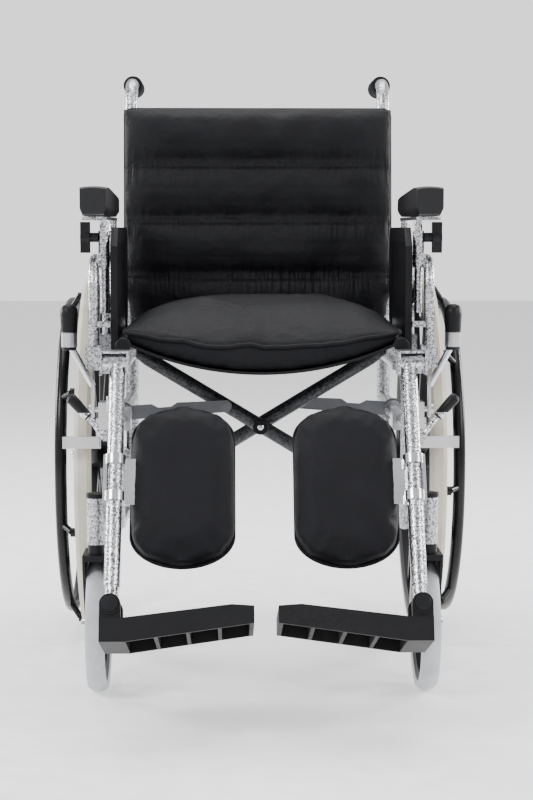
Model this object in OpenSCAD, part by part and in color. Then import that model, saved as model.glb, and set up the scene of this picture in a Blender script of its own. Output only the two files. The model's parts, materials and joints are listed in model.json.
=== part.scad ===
// Folding manual wheelchair with elevating legrests. It faces -Y, and left is +X.

/* [Frame] */
// Distance between the middle planes of the two side frames
frame_w = 426; // [400:5:520]
// Outside diameter of the frame tubes
tube_d = 22; // [20:0.5:25]
// Height of the lower rails
lower_z = 250; // [245:1:262]
// Height of the middle rails
middle_z = 400; // [385:1:410]
// Height of the top rails
top_z = 478; // [470:1:488]
// Height of the seat rails when the chair is open
seat_z = 517; // [510:1:540]
// How far the seat rails lie inside the side frames
seat_inset = 11; // [10:1:14]
// Distance from the rear upright to the front upright
frame_len = 440; // [420:5:500]
// Height of the push handles
handle_z = 931; // [850:5:980]
// Bend radius of the side frames
bend_r = 45; // [35:1:60]

/* [Rear wheels] */
// Diameter of the rear wheels
wheel_d = 610; // [560:10:620]
// Width of the rear tyres
tyre_w = 26; // [22:1:30]
// Distance from the side frame to the middle of the rear wheel
wheel_out = 62; // [60:1:70]
// Diameter of the handrim's ring, to the middle of its tube
rim_d = 513; // [480:5:530]
// Number of spokes
spokes = 8; // [5:1:10]

/* [Casters] */
// Diameter of the casters
caster_d = 200; // [150:5:205]
// Width of the casters
caster_w = 28; // [22:1:32]
// How far the caster trails behind its stem
caster_trail = 45; // [35:1:50]
// Distance from the side frame to the caster's stem
caster_out = 30; // [28:1:36]

/* [Legrests] */
// Lean of the leg tubes from upright, in degrees
leg_lean = 30; // [22:1:32]
// Length from the knee pivot to the footplate hub
leg_len = 362; // [340:2:380]
// Width of a calf pad
calf_w = 145; // [120:5:150]
// Height of a calf pad
calf_h = 240; // [200:5:245]
// Length of a footplate across the chair
foot_w = 190; // [150:5:195]
// Depth of a footplate along the chair
foot_depth = 130; // [110:5:132]

/* [Armrests] */
// Height of the arm frame's top bar
arm_z = 640; // [625:5:660]
// Height of the underside of the arm pads
pad_z = 704; // [700:2:730]
// Length of an arm pad
pad_len = 320; // [240:10:330]

/* [Upholstery] */
// Height of the top of the back upholstery
back_z = 888; // [820:4:900]
// Thickness of the back cushion
back_t = 54; // [40:2:60]
// Thickness of the seat cushion in the middle
seat_t = 94; // [76:2:100]

/* [Hidden] */
$fn = 32;

wall = 1.6;             // wall of every tube
run = 0.08;             // radial running clearance
seam = 0.5;             // how far a straight tube enters its bend
gap = 0.3;              // clearance between pieces that move past each other
tr = tube_d / 2;
cane_r = tr - 0.3;      // the rear uprights and push handles
mid_r = tr - 0.6;       // the middle rails, which the links turn on
fx = frame_w / 2;       // side frame's middle plane
axle_z = wheel_d / 2;

// Scissor brace: both diagonals turn on the lower rails and cross half way up.
brace_r = 11;
brace_top = seat_z - 11;
brace_a = atan((brace_top - lower_z) / frame_w);
brace_l = fx / cos(brace_a);
cross_z = (lower_z + brace_top) / 2;
fold_max = 47;          // how far the diagonals turn to fold the chair
brace_y_a = -214;       // diagonal a lies behind diagonal b
brace_y_b = -240;
sleeve_len = 110;
rail_x = fx - seat_inset;
rail_front = -frame_len - 8;
rail_rear = -34;
link_r = 63;            // from the crossing to a link's inner end
link_y_left = brace_y_a + brace_r + 8;
link_y_right = brace_y_b - brace_r - 6;
link_eye = 17;

// Front end: caster barrel and the post that the legrest swings on.
stem_x = fx + caster_out;
stem_y = -frame_len - 15;
barrel_r = 13;
stem_r = 8;
crown_z = caster_d + 4;
barrel_z = crown_z + 24;
barrel_top = 296;
caster_y = stem_y + caster_trail;
post_y = -frame_len - 34;
post_r = 8;
post_top = 473;

// Legrest: the knee pivot is the end of the hanger.
knee_x = fx - 7;
knee_y = post_y - 41;
knee_z = 497;
clevis_in = knee_x - 12.5;
clevis_out = knee_x + 22;
sheet_t = 3.5;
foot_in = 9.3;          // radius of the sliding footplate tube
foot_tilt = 20;
hub_r = 14;
hub_front = 36;
plate_low = 50;         // from the hub's axis down to the plate's underside
hub_y = knee_y - leg_len * sin(leg_lean);
hub_z = knee_z - leg_len * cos(leg_lean);
front_reach = -hub_y + hub_front * cos(foot_tilt) + plate_low * sin(foot_tilt);
axle_y = (front_reach - axle_z) / 2;

// Armrest: the arm frame stands in two sockets outside the side frame.
arm_x = fx + 37;
arm_r = 8;
arm_front = -frame_len + 70;
arm_rear = -70;
socket_top = 513;
arm_foot = socket_top - 30;
guard_x = fx + 2;
guard_t = 10;
apost_x = fx + 22.5;
apost_r = 6;
apost_front = arm_front + 22;
apost_rear = arm_rear - 60;
pad_x = fx + 35;
pad_w = 44;
knob_z = arm_z + 33;

// Wheel lock.
lock_y = -345;
lock_z = middle_z + 14;
lever_x = fx + 39;
shoe_y = -332;
shoe_z = middle_z - 6;

// Upholstery.
recline_z = 560;
recline = 38;
cane_bend = 150;
handle_bend = 40;
cloth = 2.4;
cush_x = rail_x + 1;

function unit(v) = v / norm(v);
function turn(u, v) = atan2(u[0] * v[1] - u[1] * v[0], u * v);

// Draws in the plane across X: its x is the chair's Y, its y is the chair's Z.
module across(x) {
    translate([x, 0, 0]) rotate([90, 0, 90]) children();
}

module rod(a, b, r) {
    v = b - a;
    translate(a) rotate([0, acos(v[2] / norm(v)), atan2(v[1], v[0])]) cylinder(h = norm(v), r = r);
}

// Bent tube through points in the across plane. The straights enter the bends a little.
module bent(pts, r, bends) {
    n = len(pts);
    function trim(i) = bends[i - 1] * tan(abs(turn(pts[i] - pts[i - 1], pts[i + 1] - pts[i])) / 2);
    function reach(i) = i == 0 || i == n - 1 ? 0 : trim(i) - seam;
    for (i = [0 : n - 2]) {
        u = unit(pts[i + 1] - pts[i]);
        a = pts[i] + u * reach(i);
        b = pts[i + 1] - u * reach(i + 1);
        rod([a[0], a[1], 0], [b[0], b[1], 0], r);
    }
    for (i = [1 : n - 2]) {
        u = unit(pts[i] - pts[i - 1]);
        w = turn(pts[i] - pts[i - 1], pts[i + 1] - pts[i]);
        s = sign(w);
        c = pts[i] - u * trim(i) + [-u[1], u[0]] * bends[i - 1] * s;
        start = atan2(u[1], u[0]) - 90 * s;
        translate([c[0], c[1], 0]) rotate([0, 0, s > 0 ? start : start + w])
            rotate_extrude(angle = abs(w)) translate([bends[i - 1], 0]) circle(r + 0.04);
    }
}

// Moves the whole chair so that its footprint is centred on the origin.
module place(side = 1) {
    translate([0, axle_y, 0]) if (side > 0) children(); else mirror([1, 0, 0]) children();
}

// ---------- side frame ----------

module frame_loop(r) {
    across(fx) bent([[-22, top_z], [-frame_len, top_z], [-frame_len, lower_z], [-22, lower_z]],
        r, [bend_r, bend_r]);
}

module frame_cane(inset) {
    across(fx) bent([[0, lower_z], [0, recline_z], [recline, handle_z], [recline + 132, handle_z]],
        cane_r - inset, [cane_bend, handle_bend]);
}

module frame_rails(inset) {
    rod([fx, -24, top_z], [fx, 0, top_z], tr - inset);
    rod([fx, -frame_len, middle_z], [fx, 0, middle_z], mid_r - inset);
    rod([fx, -24, lower_z], [fx, 52, lower_z], tr - inset);
}

module arm_socket(y) {
    difference() {
        union() {
            translate([arm_x - 12, y - 12, arm_foot - 4]) cube([24, 24, socket_top - arm_foot + 4]);
            translate([fx, y - 8, top_z - 2]) cube([arm_x - fx, 16, 12]);
        }
        translate([arm_x, y, arm_foot]) cylinder(h = 60, r = arm_r + run);
    }
}

module saddle(y) {
    difference() {
        translate([rail_x - 14, y - 13, top_z - 2]) cube([25.5, 26, seat_z - top_z + 2]);
        rod([rail_x, y - 20, seat_z], [rail_x, y + 20, seat_z], tr + gap);
        translate([rail_x - 20, y - 20, top_z - 5]) cube([14, 40, 24]);
    }
}

module side_frame(link_y, brace_y) {
    color("silver") difference() {
        union() {
            frame_loop(tr);
            frame_cane(0);
            frame_rails(0);
            // Axle housing through the rear upright.
            rod([fx - 16, 0, axle_z], [fx + 16, 0, axle_z], 12);
            // Caster barrel, held by two short bars.
            translate([stem_x, stem_y, barrel_z]) cylinder(h = barrel_top - barrel_z, r = barrel_r);
            rod([fx, 20 - frame_len, lower_z + 6], [stem_x, stem_y, lower_z - 2], 7);
            rod([fx, -frame_len, barrel_top - 14], [stem_x, stem_y, barrel_top - 14], 7);
            // Post for the legrest, held by two lugs.
            translate([fx, post_y, 292]) cylinder(h = post_top - 292, r = post_r);
            for (z = [300, 458]) rod([fx, -frame_len, z], [fx, post_y, z], 6.5);
            arm_socket(arm_front);
            arm_socket(arm_rear);
            for (y = [-70, -365]) saddle(y);
            // Collars on either side of the spreader link and of the brace's sleeve.
            for (s = [-1, 1]) {
                rod([fx, link_y + s * 2.5, middle_z], [fx, link_y + s * 7, middle_z], tr + 3);
                end = brace_y + s * (sleeve_len / 2 + 0.4);
                rod([fx, end, lower_z], [fx, end + s * 5, lower_z], tr + 3);
            }
        }
        frame_loop(tr - wall);
        frame_cane(wall);
        frame_rails(wall);
        rod([fx, 51, lower_z], [fx, 60, lower_z], tr - wall);
        rod([fx - 20, 0, axle_z], [fx + 20, 0, axle_z], 6 + run);
        translate([stem_x, stem_y, barrel_z - 1]) cylinder(h = 62, r = stem_r);
    }
}

module push_grip() {
    color([0.06, 0.06, 0.07]) across(fx) difference() {
        union() {
            rod([recline + 44, handle_z, 0], [recline + 137, handle_z, 0], 15);
            for (i = [0 : 4])
                rod([recline + 52 + i * 17, handle_z, 0], [recline + 58 + i * 17, handle_z, 0], 16.4);
        }
        rod([recline + 43, handle_z, 0], [recline + 132.4, handle_z, 0], cane_r + 0.1);
    }
}

// ---------- rear wheel ----------

hub_in = fx + 19;
hub_out = fx + wheel_out + 27;
rim_r = wheel_d / 2 - 12;
wheel_x = fx + wheel_out;
rim_ring_x = wheel_x + 37;
rim_ring_r = rim_d / 2;
rim_tube_r = 9.5;

module rear_axle() {
    color("silver") {
        rod([fx - 26, 0, axle_z], [hub_out + 12, 0, axle_z], 6);
        rod([fx - 26, 0, axle_z], [fx - 16.2, 0, axle_z], 10.5);
        rod([hub_out + 0.4, 0, axle_z], [hub_out + 12, 0, axle_z], 10.5);
        rod([fx + 16.2, 0, axle_z], [hub_in - 0.4, 0, axle_z], 9);
    }
}

module spoke(a) {
    rotate([0, 0, a]) linear_extrude(12, center = true)
        polygon([[36, -12], [rim_r - 21, -8], [rim_r - 21, 8], [36, 12]]);
}

module rear_wheel(phase) {
    color([0.09, 0.09, 0.1]) translate([wheel_x, 0, axle_z]) rotate([0, 90, 0]) difference() {
        union() {
            rotate_extrude($fn = 96) polygon([
                [rim_r - 24, -9], [rim_r - 14, -tyre_w / 2], [rim_r, -tyre_w / 2],
                [rim_r, tyre_w / 2], [rim_r - 14, tyre_w / 2], [rim_r - 24, 9]]);
            translate([0, 0, hub_in - wheel_x]) cylinder(h = hub_out - hub_in, r = 25);
            cylinder(h = 18, r = 44, center = true);
            for (i = [0 : spokes - 1]) spoke(phase + i * 360 / spokes);
        }
        translate([0, 0, -100]) cylinder(h = 200, r = 6 + run);
    }
}

module rear_tyre() {
    inner = rim_r + 0.2;
    h = tyre_w / 2;
    color([0.8, 0.78, 0.74]) translate([wheel_x, 0, axle_z]) rotate([0, 90, 0])
        rotate_extrude($fn = 96) intersection() {
            polygon([[inner, -h], [inner + 6, -h], [inner + 12, -h + 7], [inner + 12, h - 7],
                [inner + 6, h], [inner, h]]);
            translate([wheel_d / 2 - 40, 0]) circle(40, $fn = 96);
        }
}

module handrim(phase) {
    color([0.05, 0.05, 0.06]) translate([0, 0, axle_z]) {
        translate([rim_ring_x, 0, 0]) rotate([0, 90, 0])
            rotate_extrude($fn = 96) translate([rim_ring_r, 0]) circle(rim_tube_r);
        for (i = [0 : spokes - 1]) rotate([phase + i * 360 / spokes, 0, 0]) {
            foot = wheel_x + tyre_w / 2 + 0.3;
            rod([foot, rim_r - 8, 0], [foot + 8, rim_r - 8, 0], 7);
            rod([foot + 6, rim_r - 9, 0], [rim_ring_x, rim_ring_r, 0], 5);
        }
    }
}

// ---------- caster ----------

leg_gap = caster_w / 2 + 1.5;
caster_z = caster_d / 2;

module caster_fork() {
    color([0.08, 0.08, 0.09]) difference() {
        union() {
            translate([stem_x, stem_y, crown_z]) cylinder(h = barrel_z - crown_z - 0.4, r = 12);
            translate([stem_x, stem_y, crown_z]) cylinder(h = barrel_z - crown_z + 56, r = stem_r - run);
            translate([stem_x - leg_gap - 4, stem_y - 16, crown_z])
                cube([2 * leg_gap + 8, caster_trail + 24, 9]);
            for (s = [-1, 1]) translate([stem_x + s * (leg_gap + 2), 0, 0]) rotate([90, 0, 90])
                linear_extrude(4, center = true) polygon([
                    [stem_y - 16, crown_z + 9], [stem_y - 16, crown_z - 8], [caster_y - 13, caster_z - 4],
                    [caster_y - 9, caster_z - 12], [caster_y + 9, caster_z - 12],
                    [caster_y + 13, caster_z - 4], [stem_y + caster_trail + 8, crown_z + 9]]);
        }
        rod([stem_x - 40, caster_y, caster_z], [stem_x + 40, caster_y, caster_z], 5 + run);
    }
}

module caster_axle() {
    outer = leg_gap + 4.1;
    color("silver") {
        rod([stem_x - outer - 7, caster_y, caster_z], [stem_x + outer + 7, caster_y, caster_z], 5);
        for (s = [-1, 1])
            rod([stem_x + s * outer, caster_y, caster_z], [stem_x + s * (outer + 6), caster_y, caster_z], 8.5);
    }
}

module caster_wheel() {
    r = caster_d / 2 - 15;
    color([0.07, 0.07, 0.08]) translate([stem_x, caster_y, caster_z]) rotate([0, 90, 0]) difference() {
        union() {
            rotate_extrude($fn = 72) polygon([[r - 9, -8], [r, -11], [r, 11], [r - 9, 8]]);
            translate([0, 0, -leg_gap + 0.5]) cylinder(h = 2 * leg_gap - 1, r = 16);
            for (i = [0 : 4]) rotate([0, 0, i * 72]) linear_extrude(9, center = true)
                polygon([[10, -9], [r - 6, -6], [r - 6, 6], [10, 9]]);
        }
        translate([0, 0, -50]) cylinder(h = 100, r = 5 + run);
    }
}

module caster_tyre() {
    r = caster_d / 2 - 14.8;
    h = caster_w / 2;
    color([0.72, 0.73, 0.75]) translate([stem_x, caster_y, caster_z]) rotate([0, 90, 0])
        rotate_extrude($fn = 72) intersection() {
            polygon([[r, -h + 2], [r + 5, -h], [caster_d / 2, -h], [caster_d / 2, h], [r + 5, h], [r, h - 2]]);
            translate([caster_d / 2 - 19, 0]) circle(19);
        }
}

// ---------- scissor brace ----------

// One diagonal, from the lower rail at -X up to the seat rail at +X.
module diagonal(y) {
    c = cos(brace_a);
    s = sin(brace_a);
    low = [-fx, y, lower_z];
    end_x = rail_x - 4;
    top_l = (fx + rail_x) / c;
    shut = 2 * brace_l * cos(brace_a + fold_max) + guard_x - fx - 0.6;
    difference() {
        union() {
            intersection() {
                rod(low + (tr + 1) * [c, 0, s], low + top_l * [c, 0, s], brace_r);
                translate([-fx, y - 20, lower_z]) cube([fx + end_x, 40, 400]);
                // Trimmed so that it clears the skirt guard when folded.
                translate(low) rotate([0, fold_max, 0]) translate([-500, -20, -500])
                    cube([500 + shut, 40, 1500]);
            }
            // Gusset between the diagonal's end and the seat rail.
            translate([rail_x - 12, y - 9, brace_top - 14]) cube([10, 18, seat_z - brace_top + 14]);
            rod([-fx, y - sleeve_len / 2, lower_z], [-fx, y + sleeve_len / 2, lower_z], tr + 4);
            rod([rail_x, rail_front, seat_z], [rail_x, rail_rear, seat_z], tr);
        }
        rod([-fx, y - 80, lower_z], [-fx, y + 80, lower_z], tr + run);
        rod(low + (tr + 8) * [c, 0, s], low + (top_l - 40) * [c, 0, s], brace_r - 2);
        for (e = [[rail_front - 1, brace_y_b - 40], [brace_y_a + 40, rail_rear + 1]])
            rod([rail_x, e[0], seat_z], [rail_x, e[1], seat_z], tr - wall);
        rod([0, y - 30, cross_z], [0, y + 30, cross_z], 5 + run);
    }
}

module cross_tube_a() {
    color([0.16, 0.16, 0.17]) place() diagonal(brace_y_a);
}

module cross_tube_b() {
    color([0.16, 0.16, 0.17]) place() mirror([1, 0, 0]) diagonal(brace_y_b);
}

module cross_bolt() {
    front = brace_y_b - brace_r - 0.4;
    back = brace_y_a + brace_r + 0.4;
    color("silver") place() {
        rod([0, front - 6, cross_z], [0, back + 8, cross_z], 5);
        rod([0, front - 6, cross_z], [0, front, cross_z], 10);
        rod([0, back, cross_z], [0, back + 7, cross_z], 9);
    }
}

// Flat spreader link from the middle rail to beside the diagonal that rises on the same side.
module link(y) {
    inner = [link_r * cos(brace_a), cross_z + link_r * sin(brace_a)];
    run_x = fx - inner[0];
    rise = inner[1] - middle_z;
    len_l = norm([run_x, rise]);
    color([0.62, 0.63, 0.65]) translate([fx, y, middle_z]) rotate([90, atan2(rise, run_x), 0])
        translate([0, 0, -2]) difference() {
            union() {
                cylinder(h = 4, r = link_eye);
                linear_extrude(4) polygon([[0, 11], [-44, 11], [-54, 5], [-74, 5], [-84, 11],
                    [-len_l, 9], [-len_l, -9], [0, -11]]);
                translate([-len_l, 0, 0]) cylinder(h = 4, r = 9);
                translate([-len_l, 0, 0]) cylinder(h = 8, r = 5.5);
            }
            translate([0, 0, -1]) cylinder(h = 6, r = mid_r + run);
        }
}

// ---------- armrest ----------

module arm_frame() {
    path = [[arm_front, arm_foot + 0.4], [arm_front, arm_z], [arm_rear, arm_z], [arm_rear, arm_foot + 0.4]];
    color("silver") difference() {
        union() {
            across(arm_x) bent(path, arm_r, [40, 40]);
            for (y = [apost_front, apost_rear]) {
                translate([apost_x, y, arm_z - 12]) cylinder(h = knob_z - arm_z + 22, r = apost_r + 2.5);
                translate([apost_x, y - 6, arm_z - 8]) cube([arm_x - apost_x - 4, 12, 16]);
            }
            for (y = [arm_front - 6, arm_rear - 18]) translate([guard_x + guard_t + 0.2, y, 540])
                cube([arm_x - guard_x - guard_t - 1, 24, 8]);
        }
        for (y = [apost_front, apost_rear])
            translate([apost_x, y, arm_z - 40]) cylinder(h = 140, r = apost_r + run);
        rod([apost_x, apost_front, knob_z], [apost_x + 20, apost_front, knob_z], 3.1);
    }
}

module skirt_guard() {
    color([0.07, 0.07, 0.08]) across(guard_x) difference() {
        linear_extrude(guard_t) polygon([
            [arm_front + 5, 500], [arm_front + 5, 660], [arm_front + 33, 688],
            [arm_rear - 30, 688], [arm_rear - 10, 668], [arm_rear - 10, 500]]);
        translate([0, 0, -1]) linear_extrude(4) polygon([
            [arm_front + 25, 520], [arm_front + 25, 664], [arm_rear - 30, 664], [arm_rear - 30, 520]]);
    }
}

module arm_post() {
    color("silver") {
        for (y = [apost_front, apost_rear])
            translate([apost_x, y, 560]) cylinder(h = pad_z - 4 - 560, r = apost_r);
        translate([pad_x - 18, apost_front - 24, pad_z - 5]) cube([36, apost_rear - apost_front + 48, 4.7]);
    }
}

module arm_pad() {
    rear = arm_front - 26 + pad_len;
    color([0.05, 0.05, 0.06]) across(pad_x) {
        difference() {
            linear_extrude(pad_w, center = true) polygon([
                [arm_front - 26, pad_z + 4], [arm_front - 28, pad_z + 38], [arm_front - 18, pad_z + 46],
                [arm_front + 20, pad_z + 45], [rear - 12, pad_z + 32], [rear, pad_z + 24], [rear, pad_z + 12],
                [rear - 20, pad_z], [arm_front - 18, pad_z]]);
            for (s = [-1, 1]) translate([0, pad_z, s * pad_w / 2]) rotate([45, 0, 0])
                cube([900, 12, 12], center = true);
        }
    }
}

module arm_knob() {
    base = apost_x + apost_r + 2.8;
    color([0.05, 0.05, 0.06]) {
        rod([apost_x + apost_r + gap, apost_front, knob_z], [base + 1, apost_front, knob_z], 3);
        rod([base, apost_front, knob_z], [base + 18, apost_front, knob_z], 7);
        translate([base + 12, 0, 0]) across(0) linear_extrude(14) union() {
            translate([apost_front, knob_z]) circle(11);
            translate([apost_front - 8, knob_z - 23]) square([16, 46]);
        }
    }
}

// ---------- wheel lock ----------

module brake_body() {
    color([0.55, 0.56, 0.58]) difference() {
        union() {
            translate([fx - 16, lock_y - 16, middle_z - 16]) cube([32, 38, 32]);
            translate([fx + 10, lock_y - 16, middle_z - 18]) cube([lever_x - fx - 17, 38, 44]);
        }
        rod([fx, lock_y - 30, middle_z], [fx, lock_y + 40, middle_z], mid_r + 0.1);
        rod([fx + 12, lock_y, lock_z], [lever_x + 10, lock_y, lock_z], 4 + run);
        rod([fx + 12, shoe_y, shoe_z], [lever_x + 10, shoe_y, shoe_z], 4 + run);
    }
}

module brake_lever() {
    top = [fx + 76, lock_y, 514];
    bend = [lever_x + 2, lock_y, 450];
    color([0.62, 0.63, 0.65]) {
        rod([fx + 22, lock_y, lock_z], [lever_x + 8, lock_y, lock_z], 4);
        rod([lever_x + 4, lock_y, lock_z], [lever_x + 8, lock_y, lock_z], 8);
        translate([lever_x, lock_y - 9, lock_z - 12]) cube([4, 18, 54]);
        rod(bend, top, 5);
    }
    color([0.05, 0.05, 0.06]) translate([top[0], lock_y, top[2] - 5]) {
        cylinder(h = 55, r = 12);
        translate([0, 0, 55]) cylinder(h = 7, r1 = 12, r2 = 8);
    }
}

module brake_shoe() {
    color([0.7, 0.71, 0.72]) {
        rod([fx + 22, shoe_y, shoe_z], [lever_x - 1.5, shoe_y, shoe_z], 4);
        translate([lever_x - 5.5, shoe_y - 6, shoe_z - 36]) cube([4, 12, 42]);
        translate([fx + 32, shoe_y + 10, shoe_z - 42]) cube([58, 8, 18]);
        translate([lever_x - 5.5, shoe_y - 6, shoe_z - 40]) cube([4, 20, 12]);
    }
}

// ---------- legrest ----------

// Children drawn down -Z from the knee pivot, leaning forward.
module lean() {
    translate([knee_x, knee_y, knee_z]) rotate([-leg_lean, 0, 0]) children();
}

module hanger() {
    tube_x = fx - 4;
    tube_y = post_y - 24;
    color([0.6, 0.61, 0.63]) difference() {
        union() {
            for (z = [306.8, 424]) {
                translate([fx, post_y, z]) cylinder(h = 22, r = post_r + 4.5);
                translate([fx - 10, tube_y, z]) cube([16, 20, 22]);
            }
            translate([tube_x, tube_y, 302]) cylinder(h = 484 - 302, r = 9);
            // Clevis: two cheeks, a back wall and a top.
            translate([clevis_in - sheet_t, knee_y - 14, 480]) cube([sheet_t, 38, 34]);
            translate([clevis_out, knee_y - 14, 480]) cube([sheet_t, 38, 34]);
            translate([clevis_in - 1, knee_y + 20, 480]) cube([clevis_out - clevis_in + 2, 4, 34]);
            translate([clevis_in - 1, knee_y - 14, 511]) cube([clevis_out - clevis_in + 2, 38, 3]);
            rod([clevis_in - 3, knee_y, knee_z], [clevis_out + 3, knee_y, knee_z], 5);
            // Lug for the release lever.
            translate([tube_x, tube_y - 5, 384]) cube([19, 10, 16]);
        }
        translate([fx, post_y, 300]) cylinder(h = 160, r = post_r + run);
        translate([tube_x, tube_y, 300]) cylinder(h = 175, r = 9 - wall);
        rod([fx + 8.5, tube_y, 392], [fx + 20, tube_y, 392], 3 + run);
    }
}

module leg_tube() {
    color([0.66, 0.67, 0.69]) lean() difference() {
        union() {
            rod([clevis_in - knee_x + 0.4, 0, 0], [clevis_out - knee_x - 0.4, 0, 0], 12);
            translate([0, 0, -(leg_len - 30)]) cylinder(h = leg_len - 30, r = tr);
            // Ratchet sector beside the tube.
            translate([12, 0, 0]) rotate([0, 90, 0]) cylinder(h = 6, r = 13.5);
        }
        rod([-40, 0, 0], [40, 0, 0], 5 + run);
        translate([0, 0, -leg_len]) cylinder(h = leg_len - 40, r = foot_in + run);
    }
}

module release_lever() {
    tube_y = post_y - 24;
    base = [fx + 18, tube_y, 392];
    elbow = [fx + 31, tube_y, 412];
    color([0.75, 0.76, 0.78]) {
        rod([fx + 9, tube_y, 392], [fx + 18, tube_y, 392], 3);
        rod([fx + 15.4, tube_y, 392], [fx + 19, tube_y, 392], 7);
        rod(base, elbow, 3.5);
        translate(elbow) sphere(4.5);
        rod(elbow, [fx + 42, tube_y, 424], 3.5);
    }
    color([0.05, 0.05, 0.06]) rod([fx + 38, tube_y, 419.6], [fx + 62, tube_y, 446], 7);
}

pad_along = 178;        // from the knee to the middle of the calf pad, along the tube
calf_x = knee_x - 93;   // middle of the calf pad

module calf_bracket() {
    color([0.78, 0.79, 0.8]) lean() difference() {
        union() {
            for (z = [-pad_along - 34, -pad_along + 20]) translate([0, 0, z]) cylinder(h = 14, r = tr + 4);
            translate([tr + 0.6, -8, -pad_along - 34]) cube([4, 16, 68]);
            translate([-40, tr - 3, -pad_along - 34]) cube([40, 5, 68]);
            translate([-70, tr - 3, -pad_along - 10]) cube([40, 5, 20]);
        }
        translate([0, 0, -pad_along - 60]) cylinder(h = 120, r = tr + run);
    }
}

module calf_pad() {
    r = 38;
    w = calf_w / 2 - r;
    h = calf_h / 2 - r;
    color([0.07, 0.07, 0.08]) lean()
        translate([calf_x - knee_x, tr + 2.3, -pad_along]) rotate([-90, 0, 0]) linear_extrude(30) union() {
            square([2 * w, 2 * (h + r)], center = true);
            square([2 * (w + r), 2 * h], center = true);
            for (i = [-1, 1], j = [-1, 1]) translate([i * w, j * h]) circle(r);
        }
}

// Children drawn about the footplate's hub, with the plate's front tipped up.
module at_hub() {
    translate([knee_x, hub_y, hub_z]) rotate([-foot_tilt, 0, 0]) children();
}

hub_block = 16;

module foot_tube() {
    color([0.7, 0.71, 0.73]) {
        difference() {
            union() {
                lean() translate([0, 0, -leg_len + 4]) cylinder(h = 190, r = foot_in);
                at_hub() rod([0, -24, 0], [0, 24, 0], 10);
            }
            at_hub() rod([0, -40, 0], [0, 40, 0], 5 + run);
        }
    }
}

module footplate() {
    y0 = -hub_front;
    color([0.06, 0.06, 0.07]) at_hub() difference() {
        union() {
            // Hub ears and the bolt through them.
            rod([0, -hub_front, 0], [0, -24.4, 0], hub_r);
            rod([0, 24.4, 0], [0, 34, 0], hub_r);
            rod([0, -hub_front, 0], [0, 34, 0], 5);
            translate([-14, -hub_front + 2, -plate_low + 6]) cube([28, 9, plate_low - 6]);
            translate([-14, 24.4, -plate_low + 6]) cube([28, 9.6, plate_low - 6]);
            // Plate: rises towards the middle of the chair.
            translate([0, y0, 0]) rotate([-90, 0, 0]) linear_extrude(foot_depth) polygon([
                [14, 18], [14, plate_low], [-20, plate_low], [-foot_w, 26], [-foot_w, 3], [-foot_w + 30, 1],
                [-19, 18]]);
        }
        // Underside is hollow.
        for (i = [0 : 3]) translate([-foot_w + 6 + i * 42, y0 + 5, 0]) rotate([-90, 0, 0])
            linear_extrude(foot_depth - 10) polygon([
                [0, 10 + i * 3.4], [37, 13 + i * 3.4], [37, 60], [0, 60]]);
        translate([-15.5, -24.4, -19]) cube([31, 48.8, 26]);
    }
}

// ---------- upholstery ----------

sag = 46;
sag_r = (rail_x * rail_x + sag * sag) / (2 * sag);
sag_mid = seat_z + sqrt(pow(sag_r + cloth + gap + tr, 2) - rail_x * rail_x);
seat_len = frame_len - 80;

module seat_sling() {
    color([0.05, 0.05, 0.06]) place() translate([0, -38, 0]) rotate([90, 0, 0])
        linear_extrude(frame_len - 36) intersection() {
            translate([0, sag_mid]) difference() {
                circle(sag_r + cloth, $fn = 180);
                circle(sag_r, $fn = 180);
            }
            translate([-rail_x, sag_mid - sag_r - 10]) square([2 * rail_x, 120]);
        }
}

module seat_cushion() {
    low = sag_mid - sag_r;
    crown = cush_x * cush_x / 60 + 15;
    color([0.06, 0.06, 0.07]) place() intersection() {
        translate([0, -76, 0]) rotate([90, 0, 0]) linear_extrude(seat_len) intersection() {
            translate([0, sag_mid]) circle(sag_r - gap, $fn = 180);
            translate([0, low + seat_t - crown]) circle(crown, $fn = 180);
            translate([-cush_x, low - 10]) square([2 * cush_x, 200]);
        }
        across(-cush_x) linear_extrude(2 * cush_x) polygon([
            [-76, low - 5], [-76, low + seat_t - 6], [-96, low + seat_t + 2], [-300, low + seat_t + 2],
            [-76 - seat_len, low + seat_t - 44], [-76 - seat_len, low - 5]]);
    }
}

back_foot = 562;

module back_sling() {
    tilt = atan(recline / (handle_z - recline_z));
    color([0.05, 0.05, 0.06]) place() translate([0, 0, recline_z]) rotate([-tilt, 0, 0]) {
        difference() {
            union() {
                for (s = [-1, 1]) translate([s * fx, 0, 22]) cylinder(h = back_z - recline_z - 22, r = tr + gap + cloth);
                translate([-fx, -tr - gap - cloth, 22]) cube([2 * fx, cloth, back_z - recline_z - 22]);
            }
            for (s = [-1, 1]) translate([s * fx, 0, 0]) cylinder(h = 600, r = tr + gap);
        }
    }
}

module back_cushion() {
    tilt = atan(recline / (handle_z - recline_z));
    roll = (back_z - recline_z) / 3.5;
    front = tr + 2 * gap + cloth;
    color([0.06, 0.06, 0.07]) place() translate([0, 0, recline_z]) rotate([-tilt, 0, 0])
        translate([-fx - 13, 0, 0]) rotate([90, 0, 90]) linear_extrude(2 * fx + 26) intersection() {
            translate([-front - back_t, back_foot - recline_z]) square([back_t, back_z - back_foot]);
            union() {
                translate([-front - back_t + 10, 0]) square([back_t, 500]);
                for (i = [0 : 3]) translate([-front - back_t + 60, back_z - recline_z - roll * (i + 0.5)])
                    circle(60);
            }
        }
}

spoke_left = 26.5;
spoke_right = 40;
standoff_left = 5;
standoff_right = 18.5;

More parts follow.
